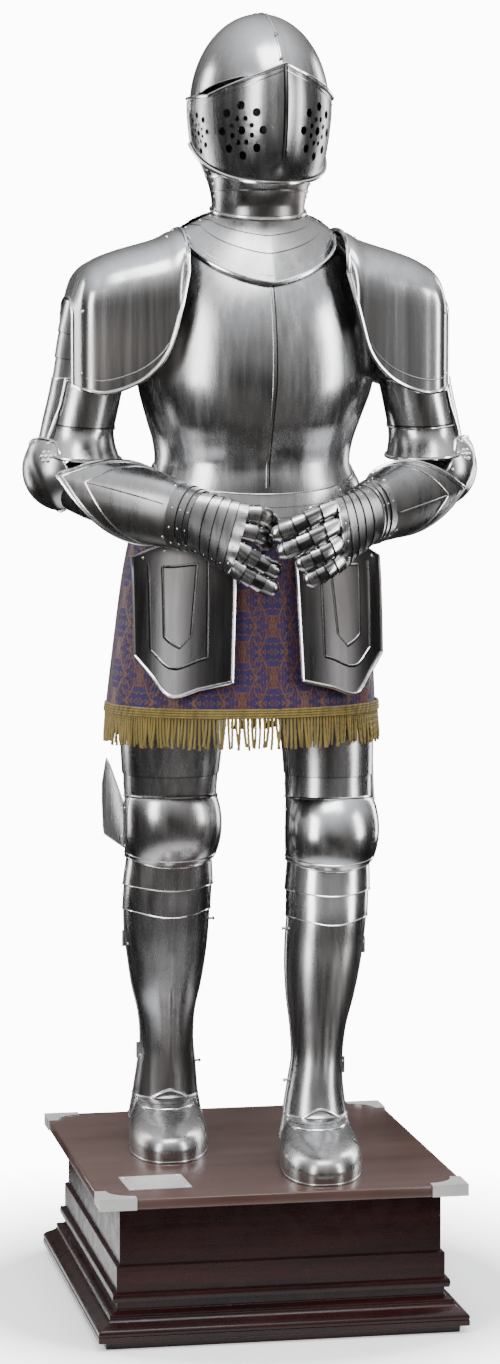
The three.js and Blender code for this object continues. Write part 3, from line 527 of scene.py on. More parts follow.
def steel(name, shade, rough):
    """Polished steel, uneven from the hammer and brushed up and down; shade is painted shade over all but its
    edges.
    """
    made, place = material(name)
    mark = place.node("ShaderNodeAttribute", {"attribute_name": "worn"}, {}, "Fac")
    # Below 0 the per-point mark paints shade into gaps, hollows and inner faces; above 0 it lightens edges
    # and lines, partly rubbed polish and partly painted highlight.
    worn, painted_shade = mark.fit(0, 1), (mark * -1).fit(0, 1)
    cloud = place.stretch(1, 1, 0.6).noise(6, 1.5, 0.5).fit(0.32, 0.68)
    stain = place.noise(5, 1, 0.5).fit(0.5, 0.75)
    brushed = place.stretch(95, 95, 3.5).noise(1, 2, 0.55).fit(0.25, 0.75)
    hairs = place.stretch(1300, 1300, 26).noise(1, 2).fit(0.56, 0.78)
    ground = cloud.colour(STEEL["deep"], STEEL["pale"])
    toned = (stain * 0.5).colour(ground, STEEL["brown"])
    streaked = ((1 - brushed) * 0.16).colour(toned, STEEL["streak"])
    shaded = ((1 - shade * (1 - worn * 0.7)) * (1 - painted_shade * 0.93)).colour(STEEL["shadow_black"], streaked)
    bright = (worn * 0.75).colour(shaded, STEEL["edge"])
    dull = rough + 0.07 * (1 - cloud) + 0.09 * brushed + 0.07 * stain + 0.06 * hairs - 0.07 * worn
    hammered = place.noise(9, 1, 0.4).bump(0.13, 0.006)
    return surface(made, place, Metallic=1.0, Base_Color=bright, Roughness=dull,
                   Normal=brushed.bump(0.06, 0.0006, hammered))


# Each copy of the steel has its own painted shade, from nearly none in the lightest to deep shade on the
# tassets.
plate_steel = steel("plate_steel", shade=0.2, rough=0.18)
bright_steel = steel("bright_steel", shade=0.02, rough=0.15)
SIDES = steps(118, -88, 88)


def trunk(angle, z, out):
    """The trunk's skin, with the breastplate's keel."""
    keel = 5 * bump(angle, 0, 12) ** 1.3 * clamp((z - 1283) / 30) * clamp((1640 - z) / 30)
    return around({**at(TRUNK, z), "y": TRUNK_Y}, angle, out + keel)


def waist(angle):
    ahead = cosine(angle)
    return TRUNK_AT["side"] + (TRUNK_AT["waist"] - TRUNK_AT["side"] if ahead > 0 else 12) * ahead


def collar(angle):
    off = abs((angle + 180) % 360 - 180)
    if off < 62:
        return mix(TRUNK_AT["throat"], TRUNK_AT["shoulder"], (off / 62) ** 1.3)
    return TRUNK_AT["shoulder"] - 46 * clamp((off - 112) / 68) ** 1.3


def armhole(angle):
    off = abs((angle + 90) % 180 - 90)
    return min(collar(angle), mix(TRUNK_AT["armhole"], TRUNK_AT["shoulder"], clamp((84 - off) / 26) ** 0.7))


def torso(angle, v, out):
    return trunk(angle, mix(waist(angle), armhole(angle), v), out)


for label, turn in (("breastplate", 0), ("backplate", 180)):
    body = Piece()
    angles = [angle + turn for angle in SIDES]
    body.plate(torso, angles, steps(64))
    for low, high in ((-88, -52), (52, 88)):
        body.tube([torso(a + turn, 1, 1.5) for a in steps(40, low, high)], 3.2)
    body.edge(torso, angles, 0, 0.8, 1.6)
    if not turn:
        # Along the keel a dark line is painted shade and a bright line a painted highlight.
        body.edge(torso, 0.9, steps(60, 0.03, 0.99), -0.4, 1.2, 6, worn=-1)
        body.edge(torso, -0.1, steps(60, 0.03, 0.99), -0.2, 1.3, 6, worn=1)
    body.make(label, plate_steel, [label])


# The gorget is a collar of three lames over the breast and back, riveted at the shoulders. Its
# long lower edge is turned over a wire, with a sunk line beside it.
NECK = {"x": 26, "y": 45, "half": 73, "front": 72, "back": 76}


def neckline(angle):
    return 1725 - 12 * cosine(angle)


def cape(angle, v, out):
    foot = trunk(angle, collar(angle) - 6, out + 3.4)
    head = around({**NECK, "z": neckline(angle)}, angle, out)
    p = foot.lerp(head, v)
    p.z += 10 * sine(180 * v) * (0.2 if cosine(angle) > 0 else 0.6)
    return p


for label, turn in (("gorget_front", 0), ("gorget_back", 180)):
    gorget = Piece()
    angles = [angle + turn for angle in steps(72, -88, 88)]
    gorget.lames(cape, angles, [0, 0.5, 0.78, 1], lift=1.8, lap=0.04, count=8)
    gorget.edge(cape, angles, 0.005, 1.6, 3.4)
    gorget.edge(cape, angles, 0.12, 1.4, 1.0, 6, worn=0.5)
    gorget.edge(cape, angles, 1, -0.6, 2.0)
    gorget.rivets(cape, (turn - 80, turn + 80), (0.3, 0.64, 0.88))
    gorget.make(label, plate_steel, [label])


# The fauld is three narrow lames below the waist, riveted to straps inside. The tassets' straps
# run up over it, and each is held by a round stud.
def skirted(angle, v, out):
    low = waist(angle) - 52.5 + (0 if cosine(angle) > 0 else 10)
    return trunk(angle, mix(low, waist(angle) - 0.5, v), out + 2.4)


for label, turn in (("fauld_front", 0), ("fauld_back", 180)):
    fauld = Piece()
    angles = [angle + turn for angle in steps(80, -88, 88)]
    fauld.lames(skirted, angles, [0, 0.36, 0.68, 1], lift=2.0, lap=0.05, count=4)
    fauld.edge(skirted, angles, 0.01, 1.6, 2.2)
    fauld.rivets(skirted, [a + turn for a in (-82, -44, 44, 82)], (0.2, 0.52, 0.85), 2.4)
    if not turn:
        for a in (-42, -18, 22, 46):
            strap = [skirted(a, v, 2.6) for v in steps(6, -0.05, 0.5)]
            for shift in (-2.2, 0, 2.2):
                fauld.tube([p + Vector((shift, 0, 0)) for p in strap], 1.6, 6, worn=0.4)
            fauld.rivets(skirted, a, 0.5, 5.4, 4.6)
    fauld.make(label, bright_steel, [label])


# A tasset is a broad plate over each thigh, hung from the fauld by two straps. Its edge is turned
# over a wire, and two pointed frames are raised on it as plain lines, one inside the other.
TASSET = table("z half front", [
    (940, 242, 174), (1030, 238, 168), (1144, 229, 158), (1206, 214, 149), (1240, 196, 143.9)])
TASSET_EDGE = table("u low high", [
    (0, 995, 1233.4), (0.33, 984, 1230), (0.66, 972, 1210), (0.84, 1003, 1198), (1, 1032, 1185)])
FRAME_LINE = [(0.38, 0.80), (0.44, 0.36), (0.55, 0.31), (0.71, 0.38), (0.72, 0.86), (0.38, 0.80)]
OUTER_LINE = [(0.27, 0.90), (0.27, 0.19), (0.57, 0.18), (0.84, 0.20), (0.85, 0.90)]


def tasset_skin(side):
    """The sheet of one tasset: u runs outward from its inner edge and v up."""
    def point(u, v, out):
        edge = at(TASSET_EDGE, u, "u")
        z = mix(edge["low"], edge["high"], v)
        row = at(TASSET, z)
        off = mix(mix(56, 46, v), 198, u)
        reach = math.sqrt(1 - (off / row["half"]) ** 2)
        return Vector((12 + side * (off + out * 0.4), 60 - (row["front"] + out) * reach - out * 0.3, z))
    return point


def walk(corners, gap=0.02):
    """Close points along straight lines between corners."""
    path = []
    for p, q in zip(corners, corners[1:]):
        count = max(1, round(math.dist(p, q) / gap))
        path.extend((mix(p[0], q[0], t), mix(p[1], q[1], t)) for t in steps(count)[:-1])
    return [*path, corners[-1]]


# The tassets' copy of the steel is painted in deep shade.
tasset_shaded_steel = steel("tasset_shaded_steel", shade=0.9, rough=0.2)
for label, side in (("right", -1), ("left", 1)):
    skin = tasset_skin(side)
    tasset = Piece()
    tasset.plate(skin, steps(44), steps(40))
    tasset.tube([skin(u, v, 0.8) for u, v in walk([(0, 1), (0, 0), (1, 0), (1, 1)])], 3.0)
    tasset.edge(skin, steps(30), 1, 0.4, 1.8)
    for line in (FRAME_LINE, OUTER_LINE):
        # Each raised line is lightened, and the dark line just below it is a painted shadow.
        tasset.tube([skin(u, v, 0.1) for u, v in walk(line)], 1.5, 6, worn=0.8)
        tasset.tube([skin(u + 0.012, v - 0.009, -0.2) for u, v in walk(line)], 1.3, 6, worn=-1)
    tasset.rivets(skin, (0.16, 0.42, 0.7, 0.9), 0.955)
    tasset.make(f"tasset_plate_{label}", tasset_shaded_steel, [f"tasset_{label}"], f"tasset_{label}")


# The skirt is one band of silk damask, navy with violet, figured in copper brown. It is hung from
# the waist under the fauld, shaped at the sides, and is stitched to a braid at its hem.
SKIRT = {"hem": 944, "wave": 2.6, "thick": 0.9}
SILK = {"navy": (0.009, 0.007, 0.062), "violet": (0.034, 0.008, 0.045), "copper": (0.092, 0.028, 0.014),
        "gold": (0.15, 0.060, 0.025), "blue": (0.013, 0.010, 0.11), "outline": (0.012, 0.009, 0.03),
        "faded": (0.06, 0.03, 0.05)}
REPEAT = {"wide": 0.060, "high": 0.080}


def hang(angle, v, out):
    """The cloth: it ripples a little more the lower it hangs."""
    z = mix(SKIRT["hem"], waist(angle) - 0.5, v)
    ripple = SKIRT["wave"] * (1 - v) ** 1.5 * (sine(angle * 13) * 0.6 + sine(angle * 7 + 40) * 0.6)
    return trunk(angle, z, out + ripple - 1.2)


def round_trunk(place):
    """The angle of each point round the trunk."""
    return (place.part("Y") - TRUNK_Y * 0.001).math("ARCTAN2", place.part("X"))


def damask():
    """A mirrored ogee with a leafy figure in each cell, woven in satin on a twill ground."""
    made, place = material("damask")
    turn = round_trunk(place)
    u = turn * (0.19 / REPEAT["wide"])
    v = place.part("Z") / REPEAT["high"]
    fold_u = (u.math("FRACT") - 0.5).math("ABSOLUTE") * 2
    shifted = (v + u.math("FLOOR").math("MODULO", 2).math("ABSOLUTE") * 0.5).math("FRACT")
    fold_v = (shifted - 0.5).math("ABSOLUTE") * 2
    cell = place.node("ShaderNodeCombineXYZ", {}, {"X": fold_u, "Y": fold_v, "Z": 0.37})
    leaf = cell.noise(3.1, 1.2, 0.4)
    vein = cell.noise(7.5, 1.0, 0.4)
    ogee = (fold_v - (fold_u * math.pi).math("COSINE") * 0.5 - 0.5).math("ABSOLUTE")
    band = ogee.fit(0.105, 0.085)
    edge = ogee.fit(0.15, 0.13) - band
    rosette = (fold_u ** 2 + (fold_v - 1) ** 2).math("SQRT")
    petals = (rosette + 0.07 * ((fold_v - 1).math("ARCTAN2", fold_u) * 8).math("COSINE")).fit(0.30, 0.275)
    leaves = (leaf.math("SUBTRACT", 0.5).math("ABSOLUTE")).fit(0.026, 0.018)
    buds = vein.fit(0.63, 0.65)
    figure = band.math("MAXIMUM", petals).math("MAXIMUM", leaves * 0.95).math("MAXIMUM", buds * 0.8)
    weft = (place.part("Z") * 2100).math("SINE")
    warp = (turn * 420).math("SINE")
    thread = (weft * warp).fit(-1, 1)
    patch = cell.noise(1.6, 1).fit(0.45, 0.56)
    ground = vein.fit(0.44, 0.40).colour(patch.colour(SILK["navy"], SILK["violet"]), SILK["blue"])
    raised = vein.fit(0.4, 0.6).colour(SILK["copper"], SILK["gold"])
    worn = place.noise(9, 3).fit(0.3, 0.8)
    mixed = (figure * (0.75 + 0.25 * thread)).colour(ground, raised)
    lined = (edge * 0.6).colour(mixed, SILK["outline"])
    return surface(
        made, place, Base_Color=(worn * 0.12).colour(lined, SILK["faded"]),
        Roughness=0.72 - 0.2 * figure, Sheen_Weight=0.06, Sheen_Roughness=0.4,
        Normal=thread.bump(0.25, 0.0006, figure.bump(0.35, 0.0006)))


skirt = Piece()
skirt.plate(hang, steps(300, -180, 180)[:-1], steps(40), ring=True, thick=SKIRT["thick"])
cloth = skirt.make("skirt_cloth", damask(), ["skirt"], sharp=80)


# A gold braid is sewn round the hem, and twisted silk cords hang from it close together. The
# cords are cut to about one length and swing a little apart at their ends.
BRAID = {"top": 951, "low": 936, "cords": 236, "long": 49, "thick": 2.15}
GOLD = {"dark": (0.035, 0.025, 0.004), "light": (0.36, 0.255, 0.05)}


def gilt():
    """Spun silk the colour of old gold, with shade painted darker between its twists."""
    made, place = material("gilt_thread")
    turn = round_trunk(place)
    spun = (place.part("Z") * 1900 + turn * 320).math("SINE").fit(-0.9, 0.9)
    tuft = place.stretch(120, 120, 30).noise(1, 3).fit(0.3, 0.7)
    strand = place.stretch(900, 900, 200).noise(1, 2).fit(0.3, 0.7)
    lit = (tuft * 0.4 + spun * 0.45 + strand * 0.15).colour(GOLD["dark"], GOLD["light"])
    return surface(
        made, place, Base_Color=lit, Roughness=0.62, Sheen_Weight=0.3, Sheen_Roughness=0.35,
        Normal=(spun * 0.6 + strand * 0.4).bump(0.5, 0.0006))


def add_cord(self, path, radius, twists=5, lobes=3):
    """A twisted cord down a short path."""
    rows = []
    for k, p in enumerate(path):
        t = k / (len(path) - 1)
        row = []
        for a in range(0, 360, 45):
            swell = radius * (1 + 0.16 * cosine(lobes * (a + 360 * twists * t / lobes)))
            row.append(p + Vector((swell * cosine(a), swell * sine(a), 0)))
        rows.append(row)
    self.grid(rows, ring=True)
    self.cap(rows[0])
    self.cap(rows[-1])


Piece.cord = add_cord

chance = random.Random(7)
fringe = Piece()
for z, thick in ((949.2, 2.0), (945.4, 2.2), (941.4, 2.2), (937.6, 2.0)):
    fringe.tube([trunk(a, z, 1.0 + 0.8 * sine(a * 90 + z * 80)) for a in steps(720, 0, 360)[:-1]], thick, 6,
                closed=True, worn=0)
fringe.plate(lambda a, v, out: trunk(a, mix(BRAID["low"], BRAID["top"], v), out - 0.2),
             steps(180, 0, 360)[:-1], steps(2), ring=True, thick=1.0)
for k in range(BRAID["cords"]):
    angle = 360 * k / BRAID["cords"]
    swing, lean = chance.uniform(-1.3, 1.3), chance.uniform(-2.2, 2.4)
    long = BRAID["long"] + chance.uniform(-4, 3)
    thick = BRAID["thick"] * chance.uniform(0.85, 1.1)
    path = [trunk(angle + swing * t * t, 938 - long * t, -0.9 + lean * t * t) for t in steps(11)]
    fringe.cord(path, thick, chance.uniform(4, 6))
fringe.make("skirt_fringe_cords", gilt(), ["skirt_fringe"], sharp=80)


# The helmet's skull is raised from one sheet, with a low comb along its middle and a small plate
# riveted at the crown. The bevor guards the chin, and both end in a roll that rides on the gorget.
HEAD = {"x": 26, "y": 40, "pivot": 1890, "radius": 146, "back": 136, "half": 108, "turn": 4}
FACE = table("z half front back", [
    (1712, 73, 72, 76), (1735, 73.5, 74, 78), (1759, 77, 83, 88), (1780, 83, 100, 98), (1800, 91, 118, 107),
    (1828, 100, 134, 121), (1861, 106.5, 144, 133), (1890, 108, 146, 136)])


def turn_head(p):
    """The head looks a little to its left; its neck stays square."""
    turn = HEAD["turn"] * clamp((p[2] - 1740) / 40)
    dx, dy = p[0] - HEAD["x"], p[1] - HEAD["y"]
    x = HEAD["x"] + dx * cosine(turn) - dy * sine(turn)
    y = HEAD["y"] + dx * sine(turn) + dy * cosine(turn)
    return Vector((x, y, p[2]))


def crown(angle, lift, out):
    """The head's skin: lift is in degrees above the visor's pivots, and in millimetres below them."""
    if lift < 0:
        z = HEAD["pivot"] + lift
        middle = mix(NECK["y"], HEAD["y"], clamp((z - 1735) / 25))
        return turn_head(around({**at(FACE, z), "x": HEAD["x"], "y": middle}, angle, out))
    k = cosine(lift)
    comb = 3.0 * max(bump(angle, 0, 9), bump(angle, 180, 9)) * k
    half, front, back = ((HEAD[name] + out) * k for name in ("half", "radius", "back"))
    z = HEAD["pivot"] + (HEAD["radius"] + out) * sine(lift)
    row = {"x": HEAD["x"], "y": HEAD["y"], "z": z, "half": half, "front": front, "back": back}
    return turn_head(around(row, angle, comb))


def rim(angle):
    return neckline(angle) + 0.5 - HEAD["pivot"]


def brow(angle, v, out):
    return crown(angle, mix(mix(3, 18, max(0, cosine(angle)) ** 0.8), 90, v), out)


def nape(angle, v, out):
    low = rim(angle)
    return crown(angle, low * (1 - v / 0.45) if v < 0.45 else 90 * (v - 0.45) / 0.55, out)


skull = Piece()
skull.plate(brow, steps(90, -90, 90), steps(36))
skull.plate(nape, steps(90, 90, 270), steps(50))
skull.edge(brow, steps(60, -74, 74), 0, -0.8, 1.0)
skull.edge(nape, steps(60, 90, 270), 0.012, 1.4, 3.2)
ridge = [brow(0, v, 0.5) for v in steps(30)] + [nape(180, v, 0.5) for v in steps(30, 1, 0.35)]
skull.tube(ridge, 1.5, 6, worn=0.6)
top = brow(0, 1, 0)
for dy in (-13, 13):
    skull.rivet(top + Vector((0, dy, 0.2)), (0, 0, 1), 2.6, 1.2)
skull.plate(lambda u, v, out: top + Vector((mix(-11, 11, u), mix(-20, 20, v), out - 0.4)),
            steps(4), steps(4), thick=1.0)
# These two rivet heads are painted dark, as shade.
for lift in (46, 27):
    skull.rivet(crown(0, lift, 2.4), crown(0, lift, 1) - crown(0, lift, 0), 3.4, 1.8, -0.7)
skull.rivets(crown, (-150, -120, -96, 96, 120, 150), -150, 2.4)
skull.make("helmet_skull_plate", bright_steel, ["helmet_skull"])


def chin(angle, v, out):
    return crown(angle, mix(rim(angle), mix(-92, -14, (abs(angle) / 86) ** 2), v), out)


# The bevor and visor get a copy of the steel painted in middling shade.
helmet_shaded_steel = steel("helmet_shaded_steel", shade=0.42, rough=0.17)
bevor = Piece()
bevor.plate(chin, steps(84, -86, 86), steps(40))
bevor.edge(chin, steps(70, -86, 86), 0.015, 1.6, 3.0)
bevor.edge(crown, steps(60, -84, 84), -132, 1.0, 1.3, 6, worn=0.5)
bevor.edge(crown, steps(60, -80, 80), -109, 1.4, 3.0)
for a in (-78, 78):
    for lift in (-160, -140, -120):
        bevor.rivet(crown(a, lift, 0.4), crown(a, lift, 1) - crown(a, lift, 0), 2.6)
bevor.make("helmet_bevor_plate", helmet_shaded_steel, ["helmet_bevor"])


# The visor turns on two studs beside the temples. It is keeled down its middle, pierced with four
# roses of round holes to breathe through, and turned over a wire above and below. A hook beside
# the jaw latches it shut.
VISOR = table("z half front", [
    (1765, 92, 124), (1794, 99, 141), (1828, 106, 152), (1861, 110.5, 158), (1890, 112.3, 160),
    (1920, 110, 159), (1950, 103, 155)])
VISOR_EDGE = {"side": 98, "low": 1767, "high": 1903, "peak": 45}
ROSE = {"z": 1847, "large": 6.9, "small": 4.1, "centre": 6.6, "outer": 38, "inner": 19.5, "pivot": 4.6}


def visor_skin(angle, z, out):
    keel = 6 * bump(angle, 0, 13) ** 1.4 * clamp((z - 1780) / 30)
    row = {**at(VISOR, z), "x": HEAD["x"], "y": HEAD["y"], "back": 160, "power": 1.9}
    return turn_head(around(row, angle, out + keel))


def visor_low(angle):
    return VISOR_EDGE["low"] + 66 * (abs(angle) / VISOR_EDGE["side"]) ** 2.6


def visor_high(angle):
    return VISOR_EDGE["high"] + VISOR_EDGE["peak"] * max(0, 1 - abs(angle) / 62)


def visor_holes():
    """Each hole's middle, in degrees and millimetres, and its radius along each."""
    holes = [(side * 90, HEAD["pivot"], math.degrees(ROSE["pivot"] / 150), ROSE["pivot"]) for side in (-1, 1)]
    for middle in (-77, -35, 35, 77):
        wide, size = (math.degrees(1 / 150), 0.72) if abs(middle) > 50 else (math.degrees(1 / 132), 1.0)
        spots = [(0, 0, ROSE["centre"])]
        spots += [(ROSE["outer"], 45 * k, ROSE["large"]) for k in range(8)]
        spots += [(ROSE["inner"], 45 * k + 22.5, ROSE["small"]) for k in range(8)]
        for reach, turn, radius in spots:
            x, z = size * reach * sine(turn), size * reach * cosine(turn)
            holes.append((middle + wide * x, ROSE["z"] + z, wide * radius * size, radius * size))
    return holes


def pierced(piece, skin, holes, thick=1.5):
    """A sheet with holes through it: it is laid out flat, cut, and then bent to its skin."""
    side = VISOR_EDGE["side"]
    border = [(a, visor_low(a)) for a in steps(side, -side, side)]
    border += [(a, visor_high(a)) for a in steps(side, side, -side)]
    loops = [border]
    for x, z, rx, rz in holes:
        loops.append([(x + rx * cosine(a), z + rz * sine(a)) for a in range(0, 360, 18)])
    flat = [Vector(p) for loop in loops for p in loop]
    edges = []
    first = 0
    for loop in loops:
        edges.extend((first + k, first + (k + 1) % len(loop)) for k in range(len(loop)))
        first += len(loop)

    def nearest(a, z):
        """How far the nearest hole's middle is, with 1 at the hole's edge."""
        return math.sqrt(min(((a - x) / rx) ** 2 + ((z - y) / rz) ** 2 for x, y, rx, rz in holes))

    for a in steps(78, -97, 97):
        for z in steps(30, 1768, 1946):
            if nearest(a, z) > 1.12 and visor_low(a) + 1 < z < visor_high(a) - 1:
                flat.append(Vector((a, z)))
    points, _, faces, *_ = delaunay_2d_cdt(flat, edges, [], 1, 1e-5)
    kept = []
    for face in faces:
        if nearest(*(sum(points[k][axis] for k in face) / len(face) for axis in (0, 1))) > 0.95:
            kept.append(face)
    base = len(piece.points)
    count = len(points)
    # The inner face is painted in shade.
    for out in (0, -thick):
        piece.points.extend(skin(a, z, out) for a, z in points)
        piece.worn.extend([-1.0 if out else 0.0] * count)
    piece.faces.extend(tuple(base + k for k in face) for face in kept)
    piece.faces.extend(tuple(base + count + k for k in reversed(face)) for face in kept)
    met = {}
    for face in kept:
        for k in range(len(face)):
            pair = (face[k], face[(k + 1) % len(face)])
            met[frozenset(pair)] = None if frozenset(pair) in met else pair
    for pair in met.values():
        if pair:
            p, q = pair
            piece.faces.append((base + q, base + p, base + count + p, base + count + q))


visor = Piece()
pierced(visor, visor_skin, visor_holes())
# The second of these rims is a dark line just above the lower rim, painted as shadow.
VISOR_RIMS = [
    (visor_low, 98, 0, 2.0, 3.2, 8, 1.0), (visor_low, 98, 4.4, -0.2, 1.2, 6, -1),
    (visor_high, 98, 0, 1.5, 2.8, 8, 1.0), (visor_high, 96, -10, 0.1, 0.8, 6, 0.3)]
for line, reach, shift, out, radius, sides, worn in VISOR_RIMS:
    path = [visor_skin(a, line(a) + shift, out) for a in steps(98, -reach, reach)]
    visor.tube(path, radius, sides, worn=worn)
visor.edge(visor_skin, 0.1, steps(30, 1800, 1944), 0.0, lambda t: 0.7 + 1.5 * min(1, 3 * t), 6, worn=0.9)
# The dark lines either side of the keel are painted shade.
for a in (-1.5, 1.7):
    visor.edge(visor_skin, a, steps(30, 1803, 1944), -0.5, 1.2, 6, worn=-1)
for end in (-VISOR_EDGE["side"], VISOR_EDGE["side"]):
    visor.edge(visor_skin, end, steps(10, visor_low(end), visor_high(end)), 0.4, 1.7)
visor.make("helmet_visor_plate", helmet_shaded_steel, ["helmet_visor"], "visor", sharp=40)

# The studs and the latch get a copy of the steel painted in deeper shade.
shaded_steel = steel("shaded_steel", shade=0.6, rough=0.28)
for label, side in (("right", -1), ("left", 1)):
    stud = Piece()
    foot = visor_skin(90 * side, HEAD["pivot"], 0.0)
    outward = (visor_skin(90 * side, HEAD["pivot"], 1.0) - foot).normalized()
    upward = outward.cross(Vector((0, 0, 1))).cross(outward).normalized() * -1
    across = outward.cross(upward)
    stud.rivet(foot - outward * 2, outward, 4.0, 4)
    stud.rivet(foot + outward * 0.4, outward, 11.0, 2.6, 0.3)
    stud.rivet(foot + outward * 2.6, outward, 4.2, 2.6)
    for a in range(0, 360, 60):
        petal = foot + outward * 0.8 + 8.4 * (upward * cosine(a) + across * sine(a))
        stud.rivet(petal, outward, 3.4, 2.2, 0.7)
    stud.make(f"visor_stud_{label}", shaded_steel, [f"visor_pivot_{label}"])

latch = Piece()
hook = [crown(-84, lift, 5.5) for lift in (-108, -100, -92, -84)]
latch.tube(hook, 1.8)
for p in (hook[0], hook[-1]):
    latch.rivet(p, crown(-84, -95, 1) - crown(-84, -95, 0), 4.2, 2.4, 0.4)
latch.tube([crown(-84, -100, out) for out in (0.0, 6.0)], 2.2)
latch.make("visor_latch", shaded_steel)


# Each pauldron caps the shoulder and reaches across the chest and the shoulder blade. It is one
# wide plate, turned over a wire on all its edges, and hangs from a strap at the gorget.
PAULDRON_MIDDLE = 20
PAULDRON = table("off top spring front back lowFront lowBack", [
    (126.7, 1699, 1640, -60, 160, 1630, 1630), (140, 1696, 1600, -76, 172, 1575, 1560),
    (158, 1686, 1590, -77, 178, 1512, 1510), (186, 1677, 1585, -75, 178, 1474, 1478),
    (220, 1667, 1580, -70, 174, 1453, 1460), (258, 1652, 1575, -64, 166, 1443, 1450),
    (286, 1630, 1570, -52, 152, 1448, 1450), (300, 1592, 1560, -18, 114, 1454, 1456)])


def shoulder(side):
    """The skin of one pauldron: u runs over it from front to back and v is measured out from the neck."""
    def point(u, v, out):
        row = at(PAULDRON, v, "off")
        reach = row["off"] + out * 0.6 * clamp((v - 270) / 20)
        x = mix(22.9, PAULDRON_MIDDLE, clamp((row["off"] - 127) / 90)) + side * reach
        if u < 0.3:
            return Vector((x, row["front"] - out, mix(row["lowFront"], row["spring"], u / 0.3)))
        if u > 0.7:
            return Vector((x, row["back"] + out, mix(row["lowBack"], row["spring"], (1 - u) / 0.3)))
        turn = mix(0, 180, (u - 0.3) / 0.4)
        middle, deep = (row["front"] + row["back"]) / 2, (row["back"] - row["front"]) / 2 + out
        ahead = math.copysign(abs(cosine(turn)) ** 0.8, cosine(turn))
        rise = (row["top"] - row["spring"] + out) * sine(turn) ** 0.8
        return Vector((x, middle - deep * ahead, row["spring"] + rise))
    return point


for label, side in (("right", -1), ("left", 1)):
    skin = shoulder(side)
    cap = Piece()
    us = [*steps(14, 0, 0.3), *steps(44, 0.31, 0.69), *steps(14, 0.7, 1)]
    inner, outer = PAULDRON[0]["off"], PAULDRON[-1]["off"]
    cap.plate(skin, us, steps(56, inner, outer))
    cap.edge(skin, 0, steps(60, inner, outer), 0.8, 3.3)
    cap.edge(skin, 1, steps(60, inner, outer), 0.8, 3.3)
    cap.edge(skin, us, inner + 0.2, 1.0, 3.3)
    cap.edge(skin, us, outer, 0.4, 2.2)
    cap.edge(skin, 0.045, steps(40, 160, 284), -0.2, 1.0, 6, worn=0.4)
    for u, v in ((0.06, 290), (0.3, 288), (0.5, 134), (0.7, 288), (0.46, 150), (0.54, 150)):
        cap.rivets(skin, u, v, 3.0, 1.8)
    cap.make(f"pauldron_plate_{label}", plate_steel, [f"pauldron_{label}"])


# Below each pauldron three narrow lames slide over the arm, and under them a tube with an outer guard closes
# round it and flares at the bend; its steel is painted lighter, as if lit. A bowl guards the elbow from
# outside, with a broad riveted lip and a rosette in front.
UPPER = table("z off y r deep", [
    (1340, 290, 66, 57, 57), (1400, 277, 64, 57, 57), (1463, 263, 62, 57, 57), (1530, 250, 60, 62, 60),
    (1590, 237, 60, 64.3, 62)])
ARM_AT = {"bend": 1352, "sleeve": 1463, "top": 1589.4, "guard_low": 1362, "guard_high": 1466}
ELBOW = {"centre": Vector((303, 68, 1321)), "radius": 66, "open": 62.6,
         "aim": Vector((0.87, 0.16, -0.4)).normalized()}


def mirrored(p, side):
    """A point given from the middle line of the shoulders, set on one side of it."""
    return Vector((PAULDRON_MIDDLE + side * p[0], p[1], p[2]))


def upper_arm(side, angle, z, out):
    row = at(UPPER, z)
    oval = {"x": 0, "y": row["y"], "z": z, "half": row["r"], "front": row["deep"], "back": row["deep"]}
    p = around(oval, angle, out)
    return mirrored((row["off"] + p.x, p.y, z), side)


def tube_skin(side):
    """The tube round the upper arm, spread at its lower rim to meet the elbow's bowl from inside."""
    def plain(angle, v, out):
        inner = max(0, cosine(angle + 30))
        flare = 27 * inner * (1 - v / 0.36) ** 1.4 if v < 0.36 else 0
        low = ARM_AT["bend"] - 16 * inner ** 0.7
        return upper_arm(side, angle, mix(low, ARM_AT["sleeve"], v), out + flare)

    def spread(angle, out):
        p = plain(angle, 0, out)
        away = (Vector(((p.x - PAULDRON_MIDDLE) * side, p.y, p.z)) - ELBOW["centre"]).normalized()
        if away.dot(ELBOW["aim"]) < cosine(ELBOW["open"] + 4):
            return p
        return mirrored(ELBOW["centre"] + away * (ELBOW["radius"] - 3.1 + out), side)

    def point(angle, v, out):
        if v < 0.15:
            return spread(angle, out).lerp(plain(angle, 0.15, out), v / 0.15)
        return plain(angle, v, out)
    return point


def bowl_skin(side):
    """The bowl over the elbow: v is 0 at its rim, drawn out to a broad lip in front, and 1 at its point."""
    u = ELBOW["aim"].cross(Vector((0, 0, 1))).normalized()
    w = ELBOW["aim"].cross(u)

    def point(turn, v, out):
        off = abs((turn + 6 + 180) % 360 - 180)
        rim = ELBOW["open"] + 36 * clamp((78 - off) / 44)
        wide = rim * (1 - v)
        lip = 3.4 * clamp((wide - 50) / 12)
        away = ELBOW["aim"] * cosine(wide) + (u * cosine(turn) + w * sine(turn)) * sine(wide)
        p = ELBOW["centre"] + away * (ELBOW["radius"] + lip * clamp((86 - off) / 20) + out)
        arm = at(UPPER, max(1340, p.z))
        dx, dy = p.x - arm["off"], p.y - arm["y"]
        reach = math.hypot(dx, dy)
        if p.z > 1340 and lip and reach < arm["r"] + 3.6 + out:
            p.x = arm["off"] + dx * (arm["r"] + 3.6 + out) / reach
            p.y = arm["y"] + dy * (arm["r"] + 3.6 + out) / reach
        return mirrored(p, side)
    return point


